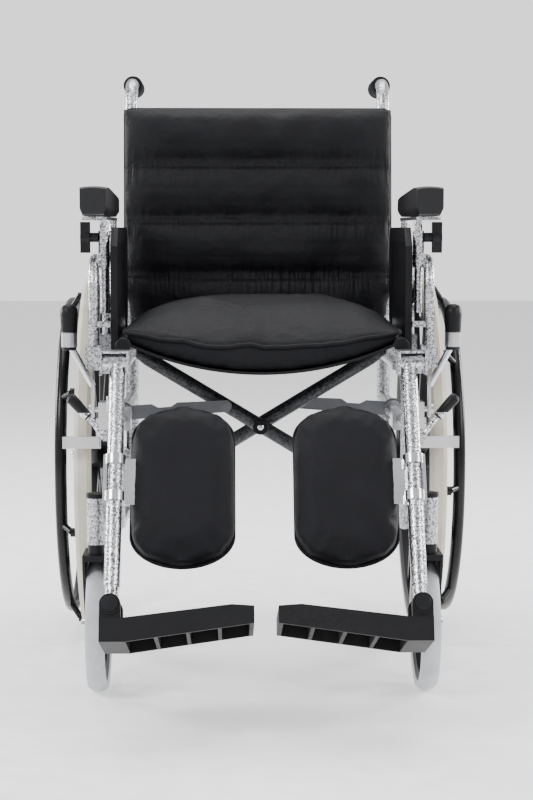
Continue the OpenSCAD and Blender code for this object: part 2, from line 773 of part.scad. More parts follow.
place(1) side_frame(link_y_left, brace_y_b);  // side_frame_left
place(-1) side_frame(link_y_right, brace_y_a);  // side_frame_right
place(1) push_grip();  // push_grip_left
place(-1) push_grip();  // push_grip_right
place(1) rear_axle();  // rear_axle_left
place(-1) rear_axle();  // rear_axle_right
place(1) rear_wheel(spoke_left);  // rear_wheel_left
place(-1) rear_wheel(spoke_right);  // rear_wheel_right
place(1) rear_tyre();  // rear_tyre_left
place(-1) rear_tyre();  // rear_tyre_right
place(1) handrim(standoff_left);  // handrim_left
place(-1) handrim(standoff_right);  // handrim_right
place(1) caster_fork();  // caster_fork_left
place(-1) caster_fork();  // caster_fork_right
place(1) caster_axle();  // caster_axle_left
place(-1) caster_axle();  // caster_axle_right
place(1) caster_wheel();  // caster_wheel_left
place(-1) caster_wheel();  // caster_wheel_right
place(1) caster_tyre();  // caster_tyre_left
place(-1) caster_tyre();  // caster_tyre_right
cross_tube_a();
cross_tube_b();
cross_bolt();
place(1) link(link_y_left);  // link_left
place(-1) link(link_y_right);  // link_right
place(1) arm_frame();  // arm_frame_left
place(-1) arm_frame();  // arm_frame_right
place(1) skirt_guard();  // skirt_guard_left
place(-1) skirt_guard();  // skirt_guard_right
place(1) arm_post();  // arm_post_left
place(-1) arm_post();  // arm_post_right
place(1) arm_pad();  // arm_pad_left
place(-1) arm_pad();  // arm_pad_right
place(1) arm_knob();  // arm_knob_left
place(-1) arm_knob();  // arm_knob_right
place(1) brake_body();  // brake_body_left
place(-1) brake_body();  // brake_body_right
place(1) brake_lever();  // brake_lever_left
place(-1) brake_lever();  // brake_lever_right
place(1) brake_shoe();  // brake_shoe_left
place(-1) brake_shoe();  // brake_shoe_right
place(1) hanger();  // hanger_left
place(-1) hanger();  // hanger_right
place(1) leg_tube();  // leg_tube_left
place(-1) leg_tube();  // leg_tube_right
place(1) release_lever();  // release_lever_left
place(-1) release_lever();  // release_lever_right
place(1) calf_bracket();  // calf_bracket_left
place(-1) calf_bracket();  // calf_bracket_right
place(1) calf_pad();  // calf_pad_left
place(-1) calf_pad();  // calf_pad_right
place(1) foot_tube();  // foot_tube_left
place(-1) foot_tube();  // foot_tube_right
place(1) footplate();  // footplate_left
place(-1) footplate();  // footplate_right
seat_sling();
seat_cushion();
back_sling();
back_cushion();
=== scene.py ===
"""Looks of a folding manual wheelchair with elevating legrests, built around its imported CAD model."""

from __future__ import annotations

import json
import logging
import math
import random
from dataclasses import dataclass
from enum import Enum
from typing import Callable, Sequence

import bpy
from mathutils import Euler, Vector, noise
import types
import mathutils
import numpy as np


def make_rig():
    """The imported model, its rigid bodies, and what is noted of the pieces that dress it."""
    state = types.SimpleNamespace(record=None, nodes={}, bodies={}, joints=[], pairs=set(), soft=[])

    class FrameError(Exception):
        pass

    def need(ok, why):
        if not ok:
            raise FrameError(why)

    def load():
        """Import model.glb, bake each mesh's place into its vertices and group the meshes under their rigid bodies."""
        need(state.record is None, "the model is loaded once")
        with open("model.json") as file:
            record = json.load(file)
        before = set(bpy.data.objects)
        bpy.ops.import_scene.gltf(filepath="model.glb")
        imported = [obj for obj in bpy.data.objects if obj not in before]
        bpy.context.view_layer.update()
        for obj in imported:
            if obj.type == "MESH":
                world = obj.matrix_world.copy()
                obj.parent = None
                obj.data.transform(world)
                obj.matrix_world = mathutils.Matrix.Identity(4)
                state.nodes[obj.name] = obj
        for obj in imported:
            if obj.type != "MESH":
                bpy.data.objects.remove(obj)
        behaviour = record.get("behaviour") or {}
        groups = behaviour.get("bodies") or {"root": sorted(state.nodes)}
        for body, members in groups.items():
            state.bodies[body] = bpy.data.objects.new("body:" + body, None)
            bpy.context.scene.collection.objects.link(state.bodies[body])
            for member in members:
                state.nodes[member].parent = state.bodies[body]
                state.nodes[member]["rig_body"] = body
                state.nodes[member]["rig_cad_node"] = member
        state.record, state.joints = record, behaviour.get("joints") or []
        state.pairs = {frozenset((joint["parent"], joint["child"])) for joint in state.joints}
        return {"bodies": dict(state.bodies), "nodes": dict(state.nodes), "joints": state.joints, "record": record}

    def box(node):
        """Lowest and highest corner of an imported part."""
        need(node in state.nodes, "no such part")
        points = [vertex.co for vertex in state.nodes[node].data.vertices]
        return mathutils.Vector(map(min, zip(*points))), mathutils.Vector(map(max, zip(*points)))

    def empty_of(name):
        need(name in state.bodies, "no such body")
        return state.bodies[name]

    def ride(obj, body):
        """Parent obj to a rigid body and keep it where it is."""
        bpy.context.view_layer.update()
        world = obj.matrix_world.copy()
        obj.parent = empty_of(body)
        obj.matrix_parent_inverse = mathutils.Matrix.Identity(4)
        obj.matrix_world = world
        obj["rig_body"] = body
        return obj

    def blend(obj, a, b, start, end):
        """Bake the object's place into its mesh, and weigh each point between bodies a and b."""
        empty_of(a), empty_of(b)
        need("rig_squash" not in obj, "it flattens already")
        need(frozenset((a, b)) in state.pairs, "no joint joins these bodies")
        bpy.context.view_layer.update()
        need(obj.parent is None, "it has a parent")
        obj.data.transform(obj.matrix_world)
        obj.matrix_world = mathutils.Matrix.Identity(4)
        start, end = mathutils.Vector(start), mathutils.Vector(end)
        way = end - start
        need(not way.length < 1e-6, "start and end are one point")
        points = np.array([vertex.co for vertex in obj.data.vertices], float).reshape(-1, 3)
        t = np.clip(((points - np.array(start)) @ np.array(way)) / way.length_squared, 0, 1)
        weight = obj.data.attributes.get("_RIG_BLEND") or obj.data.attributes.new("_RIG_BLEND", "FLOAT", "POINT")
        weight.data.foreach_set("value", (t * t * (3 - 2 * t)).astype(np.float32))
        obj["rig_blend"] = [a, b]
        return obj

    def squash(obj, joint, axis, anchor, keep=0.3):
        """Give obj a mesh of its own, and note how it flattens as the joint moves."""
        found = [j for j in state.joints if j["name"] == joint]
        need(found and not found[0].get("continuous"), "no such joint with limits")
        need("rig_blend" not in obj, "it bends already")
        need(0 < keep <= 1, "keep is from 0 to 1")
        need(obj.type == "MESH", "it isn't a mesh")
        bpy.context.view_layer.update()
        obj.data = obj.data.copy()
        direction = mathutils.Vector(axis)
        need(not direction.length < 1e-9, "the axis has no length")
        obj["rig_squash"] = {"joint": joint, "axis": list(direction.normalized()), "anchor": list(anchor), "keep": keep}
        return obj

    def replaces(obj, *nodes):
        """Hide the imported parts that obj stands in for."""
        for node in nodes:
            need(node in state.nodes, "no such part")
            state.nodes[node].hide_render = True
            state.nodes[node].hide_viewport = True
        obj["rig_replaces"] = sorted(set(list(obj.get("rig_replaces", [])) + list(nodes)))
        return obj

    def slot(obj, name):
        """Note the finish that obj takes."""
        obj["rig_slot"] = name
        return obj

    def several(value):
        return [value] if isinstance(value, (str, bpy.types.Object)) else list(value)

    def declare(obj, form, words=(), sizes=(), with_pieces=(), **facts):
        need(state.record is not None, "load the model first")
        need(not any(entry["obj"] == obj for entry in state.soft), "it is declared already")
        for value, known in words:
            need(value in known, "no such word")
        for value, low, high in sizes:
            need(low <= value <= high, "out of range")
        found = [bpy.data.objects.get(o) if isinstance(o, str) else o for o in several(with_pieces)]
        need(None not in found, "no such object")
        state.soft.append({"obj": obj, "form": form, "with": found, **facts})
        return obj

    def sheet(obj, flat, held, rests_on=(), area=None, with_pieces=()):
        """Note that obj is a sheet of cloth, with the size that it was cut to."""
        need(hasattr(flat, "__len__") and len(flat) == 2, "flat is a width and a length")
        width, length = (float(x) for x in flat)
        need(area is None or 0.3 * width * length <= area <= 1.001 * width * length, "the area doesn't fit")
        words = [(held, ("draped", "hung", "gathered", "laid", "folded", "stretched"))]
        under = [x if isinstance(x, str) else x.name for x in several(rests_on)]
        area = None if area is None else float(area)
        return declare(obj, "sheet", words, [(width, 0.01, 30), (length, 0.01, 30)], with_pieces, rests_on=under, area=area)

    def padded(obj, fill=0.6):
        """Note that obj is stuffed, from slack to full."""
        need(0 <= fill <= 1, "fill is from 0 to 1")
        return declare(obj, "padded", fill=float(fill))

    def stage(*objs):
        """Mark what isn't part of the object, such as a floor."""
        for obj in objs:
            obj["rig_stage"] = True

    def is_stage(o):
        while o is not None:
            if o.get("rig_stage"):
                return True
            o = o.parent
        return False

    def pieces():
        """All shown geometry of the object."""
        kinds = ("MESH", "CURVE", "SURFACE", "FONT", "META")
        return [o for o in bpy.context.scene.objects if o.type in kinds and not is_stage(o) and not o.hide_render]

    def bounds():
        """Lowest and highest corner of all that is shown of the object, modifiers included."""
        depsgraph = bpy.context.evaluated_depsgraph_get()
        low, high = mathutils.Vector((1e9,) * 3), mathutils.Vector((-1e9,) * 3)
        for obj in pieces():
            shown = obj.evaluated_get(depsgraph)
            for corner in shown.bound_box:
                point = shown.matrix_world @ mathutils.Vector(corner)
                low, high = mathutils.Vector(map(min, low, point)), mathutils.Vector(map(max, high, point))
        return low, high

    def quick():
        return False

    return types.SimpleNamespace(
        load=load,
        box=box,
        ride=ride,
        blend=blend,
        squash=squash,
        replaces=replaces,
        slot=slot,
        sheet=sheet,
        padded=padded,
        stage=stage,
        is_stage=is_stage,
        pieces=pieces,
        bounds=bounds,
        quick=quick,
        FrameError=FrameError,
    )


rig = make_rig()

logging.basicConfig(level=logging.INFO, format="%(name)s: %(message)s")

Point = tuple[float, float, float]
Colour = tuple[float, float, float]

AXLE_Y = 0.220965
FOLDED_WIDTH = 0.2723
SIDES: tuple[tuple[str, int], ...] = (("left", 1), ("right", -1))


def mm(x: float, y: float, z: float) -> Vector:
    """A point of the chair in metres.

    Args:
        x: Millimetres to the seated person's left.
        y: Millimetres behind the rear axle.
        z: Millimetres above the floor.

    Returns:
        The point in the scene's frame.
    """
    return Vector((x / 1000, y / 1000 + AXLE_Y, z / 1000))


# ---------------------------------------------------------------- shader maths


class Signal:
    """A shader value that adds a math node whenever it is used in arithmetic."""

    def __init__(self, tree: bpy.types.NodeTree, socket: bpy.types.NodeSocket) -> None:
        """Wraps a socket.

        Args:
            tree: The node tree that the socket is in.
            socket: The output that carries the value.
        """
        self.tree = tree
        self.socket = socket

    def _math(self, operation: str, *operands: "Signal | float") -> "Signal":
        """Adds one math node.

        Args:
            operation: The math node's operation.
            operands: Its inputs, in order.

        Returns:
            The node's result.
        """
        node = self.tree.nodes.new("ShaderNodeMath")
        node.operation = operation
        for slot, value in zip(node.inputs, operands):
            if isinstance(value, Signal):
                self.tree.links.new(value.socket, slot)
            else:
                slot.default_value = value
        return Signal(self.tree, node.outputs[0])

    def __add__(self, other: "Signal | float") -> "Signal":
        return self._math("ADD", self, other)

    def __radd__(self, other: float) -> "Signal":
        return self._math("ADD", other, self)

    def __sub__(self, other: "Signal | float") -> "Signal":
        return self._math("SUBTRACT", self, other)

    def __rsub__(self, other: float) -> "Signal":
        return self._math("SUBTRACT", other, self)

    def __mul__(self, other: "Signal | float") -> "Signal":
        return self._math("MULTIPLY", self, other)

    def __rmul__(self, other: float) -> "Signal":
        return self._math("MULTIPLY", other, self)

    def __truediv__(self, other: "Signal | float") -> "Signal":
        return self._math("DIVIDE", self, other)

    def __rtruediv__(self, other: float) -> "Signal":
        return self._math("DIVIDE", other, self)

    def __pow__(self, other: float) -> "Signal":
        return self._math("POWER", self, other)

    def sine(self) -> "Signal":
        """Returns the sine of the value."""
        return self._math("SINE", self)

    def size(self) -> "Signal":
        """Returns the value without its sign."""
        return self._math("ABSOLUTE", self)

    def near(self, centre: float, reach: float) -> "Signal":
        """A bump that is 1 at a value and falls to 0.

        Args:
            centre: Where the bump peaks.
            reach: How far from the peak it reaches 0.

        Returns:
            The bump's height.
        """
        return self._math("MAXIMUM", 1.0 - (self - centre).size() / reach, 0.0)

    def step(self, low: float, high: float) -> "Signal":
        """Rises from 0 at low to 1 at high.

        Args:
            low: Where the rise starts.
            high: Where it ends.

        Returns:
            The clamped rise.
        """
        return self._math("MINIMUM", self._math("MAXIMUM", (self - low) / (high - low), 0.0), 1.0)


class Grain(Enum):
    """The small-scale surface of a finish."""

    HAMMERTONE = "hammertone"
    BRUSHED = "brushed"
    PLATED = "plated"
    MOULDED = "moulded"
    RUBBER = "rubber"
    VINYL = "vinyl"
    WEAVE = "weave"
    CONCRETE = "concrete"


@dataclass(frozen=True)
class Finish:
    """How one material looks.

    Attributes:
        name: The Blender material's name.
        colour: Base colour, linear.
        roughness: Roughness where the surface is clean.
        grain: The kind of fine surface.
        metallic: 1 for bare metal.
        coat: Weight of a clear coat.
        relief: Height of the grain, in metres.
        scale: Grains in a metre.
        wear: How much dust and rubbing shows, from 0 to 1.
        seams: Heights of stitched channels across the piece, in metres.
        gloss: How strongly a bare surface mirrors, where 0.5 is common plastic.
        glow: Light that the surface gives off, for the studio's sweep.
    """

    name: str
    colour: Colour
    roughness: float
    grain: Grain
    metallic: float = 0.0
    coat: float = 0.0
    relief: float = 0.0002
    scale: float = 600.0
    wear: float = 0.3
    seams: tuple[float, ...] = ()
    gloss: float = 0.5
    glow: float = 0.0


class Paint:
    """Builds the node tree of one finish."""

    def __init__(self, finish: Finish) -> None:
        """Starts an empty tree.

        Args:
            finish: The finish to build.
        """
        self.finish = finish
        self.material = bpy.data.materials.new(finish.name)
        self.material.use_nodes = True
        self.tree = self.material.node_tree
        self.tree.nodes.clear()

    def node(self, kind: str, settings: dict[str, object] | None = None,
             **inputs: object) -> bpy.types.Node:
        """Adds any node.

        Args:
            kind: The node's type after "ShaderNode".
            settings: Properties to set on the node.
            inputs: Input names, with _ for a space, and their values or signals.

        Returns:
            The new node.
        """
        made = self.tree.nodes.new("ShaderNode" + kind)
        for key, value in (settings or {}).items():
            setattr(made, key, value)
        for key, value in inputs.items():
            slot = made.inputs[key.replace("_", " ")]
            if isinstance(value, Signal):
                self.tree.links.new(value.socket, slot)
            elif isinstance(value, bpy.types.NodeSocket):
                self.tree.links.new(value, slot)
            else:
                slot.default_value = value
        return made

    def place(self) -> bpy.types.NodeSocket:
        """Returns the point being shaded, in metres."""
        return self.node("TexCoord").outputs["Object"]

    def stretched(self, scale: Point) -> bpy.types.NodeSocket:
        """The shaded point with each axis scaled.

        Args:
            scale: Factors along X, Y and Z.

        Returns:
            The scaled point.
        """
        return self.node("Mapping", Vector=self.place(), Scale=scale).outputs["Vector"]

    def noise(self, scale: float, detail: float = 3.0, stretch: Point = (1, 1, 1)) -> Signal:
        """Cloudy noise from 0 to 1.

        Args:
            scale: Clouds in a metre.
            detail: How many finer layers it has.
            stretch: Factors along X, Y and Z.

        Returns:
            The noise.
        """
        made = self.node("TexNoise", Vector=self.stretched(stretch), Scale=scale, Detail=detail)
        return Signal(self.tree, made.outputs["Fac"])

    def cells(self, scale: float, feature: str = "F1", stretch: Point = (1, 1, 1)) -> Signal:
        """Distance in a field of random cells.

        Args:
            scale: Cells in a metre.
            feature: Which distance of the Voronoi texture.
            stretch: Factors along X, Y and Z.

        Returns:
            The distance.
        """
        made = self.node("TexVoronoi", {"feature": feature}, Vector=self.stretched(stretch), Scale=scale)
        return Signal(self.tree, made.outputs["Distance"])

    def along(self) -> tuple[Signal, Signal, Signal]:
        """Returns the shaded point's X, Y and Z."""
        parts = self.node("SeparateXYZ", Vector=self.place())
        return tuple(Signal(self.tree, parts.outputs[i]) for i in range(3))

    def height(self) -> Signal:
        """Returns the relief of the finish's grain, in metres."""
        f = self.finish
        if f.grain is Grain.HAMMERTONE:
            fine = self.cells(f.scale, "SMOOTH_F1") * 0.8 + self.noise(f.scale * 1.7, 1.0) * 0.5
        elif f.grain is Grain.BRUSHED:
            fine = self.noise(f.scale, 2.0, (1.0, 1.0, 0.08)) * 0.6 + self.noise(90.0) * 0.4
        elif f.grain is Grain.PLATED:
            fine = self.noise(f.scale, 2.0) * 0.3 + self.noise(40.0) * 0.4
        elif f.grain is Grain.MOULDED:
            fine = self.noise(f.scale, 4.0) * 0.7 + self.noise(60.0, 2.0) * 0.5
        elif f.grain is Grain.RUBBER:
            fine = self.cells(f.scale) * 0.5 + self.noise(f.scale * 0.4, 3.0) * 0.6
        elif f.grain is Grain.VINYL:
            edge = self.cells(f.scale, "DISTANCE_TO_EDGE").step(0.0, 0.18)
            crease = self.noise(20.0, 4.0, (1.0, 1.0, 1.5)) * 14.0 + self.noise(55.0, 4.0) * 5.0
            fine = edge * 0.5 + crease
        elif f.grain is Grain.WEAVE:
            x, y, z = self.along()
            fine = (x * f.scale).sine() * ((y + z) * f.scale).sine() * 0.5 + self.noise(70.0) * 1.5
        else:
            fine = self.noise(f.scale, 6.0)
        total = fine * f.relief
        if f.seams:
            total = total + self.seam_relief()
        return total

    def seam_relief(self) -> Signal:
        """Returns the grooves and puckers beside the stitched channels, in metres."""
        x, _, z = self.along()
        pucker = self.noise(60.0, 2.0, (2.2, 0.2, 0.25))
        total: Signal | None = None
        for seam in self.finish.seams:
            line = z.near(seam, 0.005) * -0.0028
            fold = z.near(seam, 0.036) * pucker * 0.0085
            stitch = z.near(seam, 0.0012) * (x * 1400.0).sine() * 0.00035
            total = line + fold + stitch if total is None else total + line + fold + stitch
        return total

    def mottle(self) -> Signal:
        """Returns where the colour is light, from 0 to 1."""
        if self.finish.grain is Grain.HAMMERTONE:
            dimple = self.cells(self.finish.scale, "SMOOTH_F1") + self.noise(self.finish.scale * 0.6, 2.0) * 0.6
            return dimple.step(0.45, 0.85)
        return (self.noise(26.0, 3.0) * 1.6 - 0.3).step(0.0, 1.0)

    def build(self) -> bpy.types.Material:
        """Links the whole tree.

        Returns:
            The finished material.
        """
        f = self.finish
        cloud = self.noise(7.0, 4.0)
        speck = self.noise(160.0, 3.0)
        dust = cloud.step(0.48, 0.82) * speck.step(0.35, 0.75) * f.wear
        tone = self.node("Mix", {"data_type": "RGBA"}, Factor=self.mottle())
        low, high = (0.30, 1.55) if f.grain is Grain.HAMMERTONE else (0.84, 1.2)
        tone.inputs["A"].default_value = (*[c * low for c in f.colour], 1.0)
        tone.inputs["B"].default_value = (*[min(c * high + 0.001, 0.95) for c in f.colour], 1.0)
        worn = self.node("Mix", {"data_type": "RGBA"}, Factor=(dust * 0.35).step(0.0, 1.0))
        self.tree.links.new(tone.outputs["Result"], worn.inputs["A"])
        worn.inputs["B"].default_value = (*[c * 0.7 + 0.09 for c in f.colour], 1.0)
        rough = (cloud * 0.12 + speck * 0.06 + dust * 0.25 + (f.roughness - 0.09)).step(0.0, 1.0)
        relief = self.node("Bump", Strength=1.0, Distance=1.0, Height=self.height())
        surface = self.node("BsdfPrincipled", Roughness=rough, Metallic=f.metallic,
                            Specular_IOR_Level=f.gloss,
                            Coat_Weight=f.coat, Coat_Roughness=0.12, Normal=relief.outputs["Normal"])
        self.tree.links.new(worn.outputs["Result"], surface.inputs["Base Color"])
        surface.inputs["Emission Color"].default_value = (1.0, 1.0, 1.0, 1.0)
        surface.inputs["Emission Strength"].default_value = f.glow
        out = self.node("OutputMaterial")
        self.tree.links.new(surface.outputs["BSDF"], out.inputs["Surface"])
        return self.material


FINISHES: dict[str, Finish] = {
    "frame_silver": Finish("HammertoneSilver", (0.40, 0.41, 0.43), 0.30, Grain.HAMMERTONE, 0.9, 0.3,
                           0.0007, 330.0, 0.2),
    "brace_dark": Finish("HammertoneDark", (0.040, 0.041, 0.046), 0.34, Grain.HAMMERTONE, 0.5, 0.3,
                         0.0006, 300.0, 0.25),
    "link_grey": Finish("LinkEnamel", (0.20, 0.205, 0.22), 0.36, Grain.BRUSHED, 0.8, 0.2, 0.0002,
                        380.0, 0.3),
    "bright_steel": Finish("BrightPlate", (0.80, 0.81, 0.83), 0.17, Grain.PLATED, 1.0, 0.0, 0.0002,
                           300.0, 0.2),
    "satin_steel": Finish("HammertoneZinc", (0.46, 0.46, 0.48), 0.26, Grain.HAMMERTONE, 1.0, 0.0, 0.0006,
                           360.0, 0.3),
    "brake_plate": Finish("BrakePlate", (0.62, 0.62, 0.63), 0.30, Grain.BRUSHED, 1.0, 0.0, 0.0002,
                          380.0, 0.35),
    "lever_plastic": Finish("LeverPlastic", (0.006, 0.006, 0.007), 0.42, Grain.MOULDED, relief=0.00012,
                            scale=900.0, gloss=0.2),
    "grip_rubber": Finish("GripRubber", (0.006, 0.006, 0.007), 0.58, Grain.RUBBER, relief=0.00025,
                          scale=700.0, gloss=0.2),
    "wheel_composite": Finish("WheelComposite", (0.006, 0.006, 0.007), 0.42, Grain.MOULDED,
                              relief=0.00014, scale=800.0, gloss=0.2),
    "rear_tyre": Finish("PaleTyre", (0.56, 0.51, 0.42), 0.66, Grain.RUBBER, relief=0.0003, scale=420.0,
                        wear=0.6),
    "caster_tyre": Finish("GreyTyre", (0.46, 0.47, 0.50), 0.52, Grain.RUBBER, relief=0.00025,
                          scale=420.0, wear=0.5),
    "handrim_black": Finish("HandrimCoat", (0.005, 0.005, 0.006), 0.28, Grain.PLATED, coat=0.1,
                            relief=0.0001, scale=500.0, gloss=0.2),
    "pad_black": Finish("ArmPadSkin", (0.005, 0.005, 0.006), 0.42, Grain.MOULDED, relief=0.00022,
                        scale=520.0, gloss=0.4),
    "guard_black": Finish("GuardPanel", (0.005, 0.005, 0.006), 0.36, Grain.MOULDED, relief=0.00016,
                          scale=620.0, gloss=0.2),
    "calf_vinyl": Finish("CalfVinyl", (0.004, 0.004, 0.006), 0.58, Grain.WEAVE, relief=0.0002,
                         scale=2400.0, gloss=0.16),
    "foot_plastic": Finish("FootplatePlastic", (0.007, 0.007, 0.008), 0.50, Grain.MOULDED,
                           relief=0.00018, scale=560.0, wear=0.3, gloss=0.2),
    "vinyl": Finish("SeatVinyl", (0.004, 0.004, 0.006), 0.56, Grain.VINYL, relief=0.0003,
                    scale=460.0, gloss=0.18),
    "sling_fabric": Finish("SlingNylon", (0.006, 0.006, 0.007), 0.58, Grain.WEAVE, relief=0.00016,
                           scale=2600.0, gloss=0.2),
}
SEAMS: tuple[float, ...] = (0.7897, 0.6967, 0.6036)
QUILTED = Finish("QuiltedVinyl", (0.004, 0.004, 0.006), 0.56, Grain.VINYL, relief=0.0003,
                 scale=460.0, seams=SEAMS, gloss=0.18)
FLOOR = Finish("StudioFloor", (0.93, 0.93, 0.93), 0.7, Grain.CONCRETE, relief=0.00002, scale=200.0,
               wear=0.0, glow=0.45)


class Palette:
    """Builds each finish once."""

    def __init__(self) -> None:
        """Starts with nothing built."""
        self.made: dict[str, bpy.types.Material] = {}

    def get(self, finish: Finish) -> bpy.types.Material:
        """The material of a finish.

        Args:
            finish: The finish.

        Returns:
            Its material, built on first use.
        """
        if finish.name not in self.made:
            self.made[finish.name] = Paint(finish).build()
        return self.made[finish.name]


# ---------------------------------------------------------------- modelling


class Shop:
    """Modelling steps shared by every piece."""

    def __init__(self, palette: Palette) -> None:
        """Keeps the palette.

        Args:
            palette: Where finishes are built.
        """
        self.palette = palette
        self.log = logging.getLogger(type(self).__name__)

    def clear(self) -> None:
        """Deselects everything."""
        bpy.ops.object.select_all(action="DESELECT")

    def focus(self, piece: bpy.types.Object) -> bpy.types.Object:
        """Makes one piece the only one selected.

        Args:
            piece: The piece.

        Returns:
            The piece.
        """
        self.clear()
        piece.select_set(True)
        bpy.context.view_layer.objects.active = piece
        return piece

    def named(self, name: str) -> bpy.types.Object:
        """Names the piece that was just added.

        Args:
            name: The piece's new name.

        Returns:
            The piece.
        """
        piece = bpy.context.object
        piece.name = name
        piece.data.name = name
        return piece

    def block(self, name: str, cuts: int = 0) -> bpy.types.Object:
        """Adds a cube from -1 to 1, cut into a grid.

        Args:
            name: The piece's name.
            cuts: Cuts across each edge.

        Returns:
            The piece.
        """
        self.clear()
        bpy.ops.mesh.primitive_cube_add(size=2.0)
        piece = self.named(name)
        if cuts:
            bpy.ops.object.mode_set(mode="EDIT")
            bpy.ops.mesh.select_all(action="SELECT")
            bpy.ops.mesh.subdivide(number_cuts=cuts)
            bpy.ops.object.mode_set(mode="OBJECT")
        return piece

    def reshape(self, piece: bpy.types.Object, rule: Callable[[Vector], Vector]) -> None:
        """Moves each vertex by a rule.

        Args:
            piece: The piece.
            rule: Gives a vertex's new place.
        """
        for vertex in piece.data.vertices:
            vertex.co = rule(vertex.co.copy())
        piece.data.update()

    def settle(self, piece: bpy.types.Object) -> None:
        """Applies the piece's place, turn and scale, so that it sits at the origin.

        Args:
            piece: The piece.
        """
        self.focus(piece)
        bpy.ops.object.transform_apply(location=True, rotation=True, scale=True)

    def modify(self, piece: bpy.types.Object, kind: str, **settings: object) -> None:
        """Adds a modifier and applies it.

        Args:
            piece: The piece.
            kind: The modifier's type.
            settings: Its properties.
        """
        self.focus(piece)
        made = piece.modifiers.new(kind.title(), kind)
        for key, value in settings.items():
            setattr(made, key, value)
        bpy.ops.object.modifier_apply(modifier=made.name)

    def smooth(self, piece: bpy.types.Object, angle: float = 40.0) -> None:
        """Shades the piece smooth, with edges kept where it turns sharply.

        Args:
            piece: The piece.
            angle: The sharpest turn that is smoothed, in degrees.
        """
        self.focus(piece)
        bpy.ops.object.mode_set(mode="EDIT")
        bpy.ops.mesh.select_all(action="SELECT")
        bpy.ops.mesh.normals_make_consistent(inside=False)
        bpy.ops.object.mode_set(mode="OBJECT")
        bpy.ops.object.shade_smooth_by_angle(angle=math.radians(angle))

    def coat(self, piece: bpy.types.Object, finish: Finish, slot: str | None = None) -> None:
        """Gives the piece its finish.

        Args:
            piece: The piece.
            finish: The finish.
            slot: The record's material slot, where it has one.
        """
        piece.data.materials.clear()
        piece.data.materials.append(self.palette.get(finish))
        if slot:
            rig.slot(piece, slot)

    def tube(self, name: str, points: Sequence[Vector], radius: float, closed: bool = False,
             sides: int = 4) -> bpy.types.Object:
        """A round tube through points, as a mesh.

        Args:
            name: The piece's name.
            points: The tube's centreline.
            radius: Its radius in metres.
            closed: Whether the ends join.
            sides: Resolution of its section.

        Returns:
            The piece.
        """
        curve = bpy.data.curves.new(name, "CURVE")
        curve.dimensions = "3D"
        curve.bevel_depth = radius
        curve.bevel_resolution = sides
        curve.use_fill_caps = not closed
        line = curve.splines.new("POLY")
        line.points.add(len(points) - 1)
        for spot, point in zip(line.points, points):
            spot.co = (*point, 1.0)
        line.use_cyclic_u = closed
        piece = bpy.data.objects.new(name, curve)
        bpy.context.scene.collection.objects.link(piece)
        self.focus(piece)
        bpy.ops.object.convert(target="MESH")
        return self.named(name)

    def inflate(self, piece: bpy.types.Object, held: Callable[[Vector], float], pressure: float,
                cap: float, cell: float = 0.006) -> None:
        """Fills the piece with air as cloth, then keeps the swelling within a limit.

        Args:
            piece: A closed piece.
            held: How firmly a point is held, from 0 to 1.
            pressure: Cloth pressure.
            cap: The furthest that a vertex may move, in metres.
            cell: Size of the mesh's faces in metres.
        """
        self.modify(piece, "REMESH", mode="VOXEL", voxel_size=cell)
        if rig.quick():
            return
        start = [v.co.copy() for v in piece.data.vertices]
        group = piece.vertex_groups.new(name="held")
        for vertex in piece.data.vertices:
            weight = held(vertex.co)
            if weight > 0.0:
                group.add([vertex.index], weight, "REPLACE")
        cloth = piece.modifiers.new("Cloth", "CLOTH")
        rules = cloth.settings
        rules.quality = 5
        rules.mass = 0.25
        rules.tension_stiffness = rules.compression_stiffness = 18.0
        rules.shear_stiffness = 8.0
        rules.bending_stiffness = 0.6
        rules.use_pressure = True
        rules.uniform_pressure_force = pressure
        rules.vertex_group_mass = "held"
        rules.effector_weights.gravity = 0.0
        scene = bpy.context.scene
        scene.frame_start, scene.frame_end = 1, 20
        for frame in range(1, 21):
            scene.frame_set(frame)
        self.focus(piece)
        bpy.ops.object.modifier_apply(modifier=cloth.name)
        scene.frame_set(1)
        for vertex, before in zip(piece.data.vertices, start):
            move = vertex.co - before
            if move.length > cap:
                vertex.co = before + move * (cap / move.length)
        piece.data.update()


# ---------------------------------------------------------------- upholstery


@dataclass
class SeatShape:
    """The seat's section: an arc that sags between the rails.

    Attributes:
        rail: Half the distance between the seat rails, in millimetres.
        sag: Depth of the sag, in millimetres.
        middle: Height of the arc's centre, in millimetres.
        radius: Radius of the arc, in millimetres.
    """

    rail: float = 202.0
    sag: float = 46.0
    middle: float = 943.2
    radius: float = 466.5

    def low(self, x: float) -> float:
        """Height of the sling's upper face.

        Args:
            x: Millimetres from the middle.

        Returns:
            The height in millimetres.
        """
        return self.middle - math.sqrt(self.radius**2 - x * x)


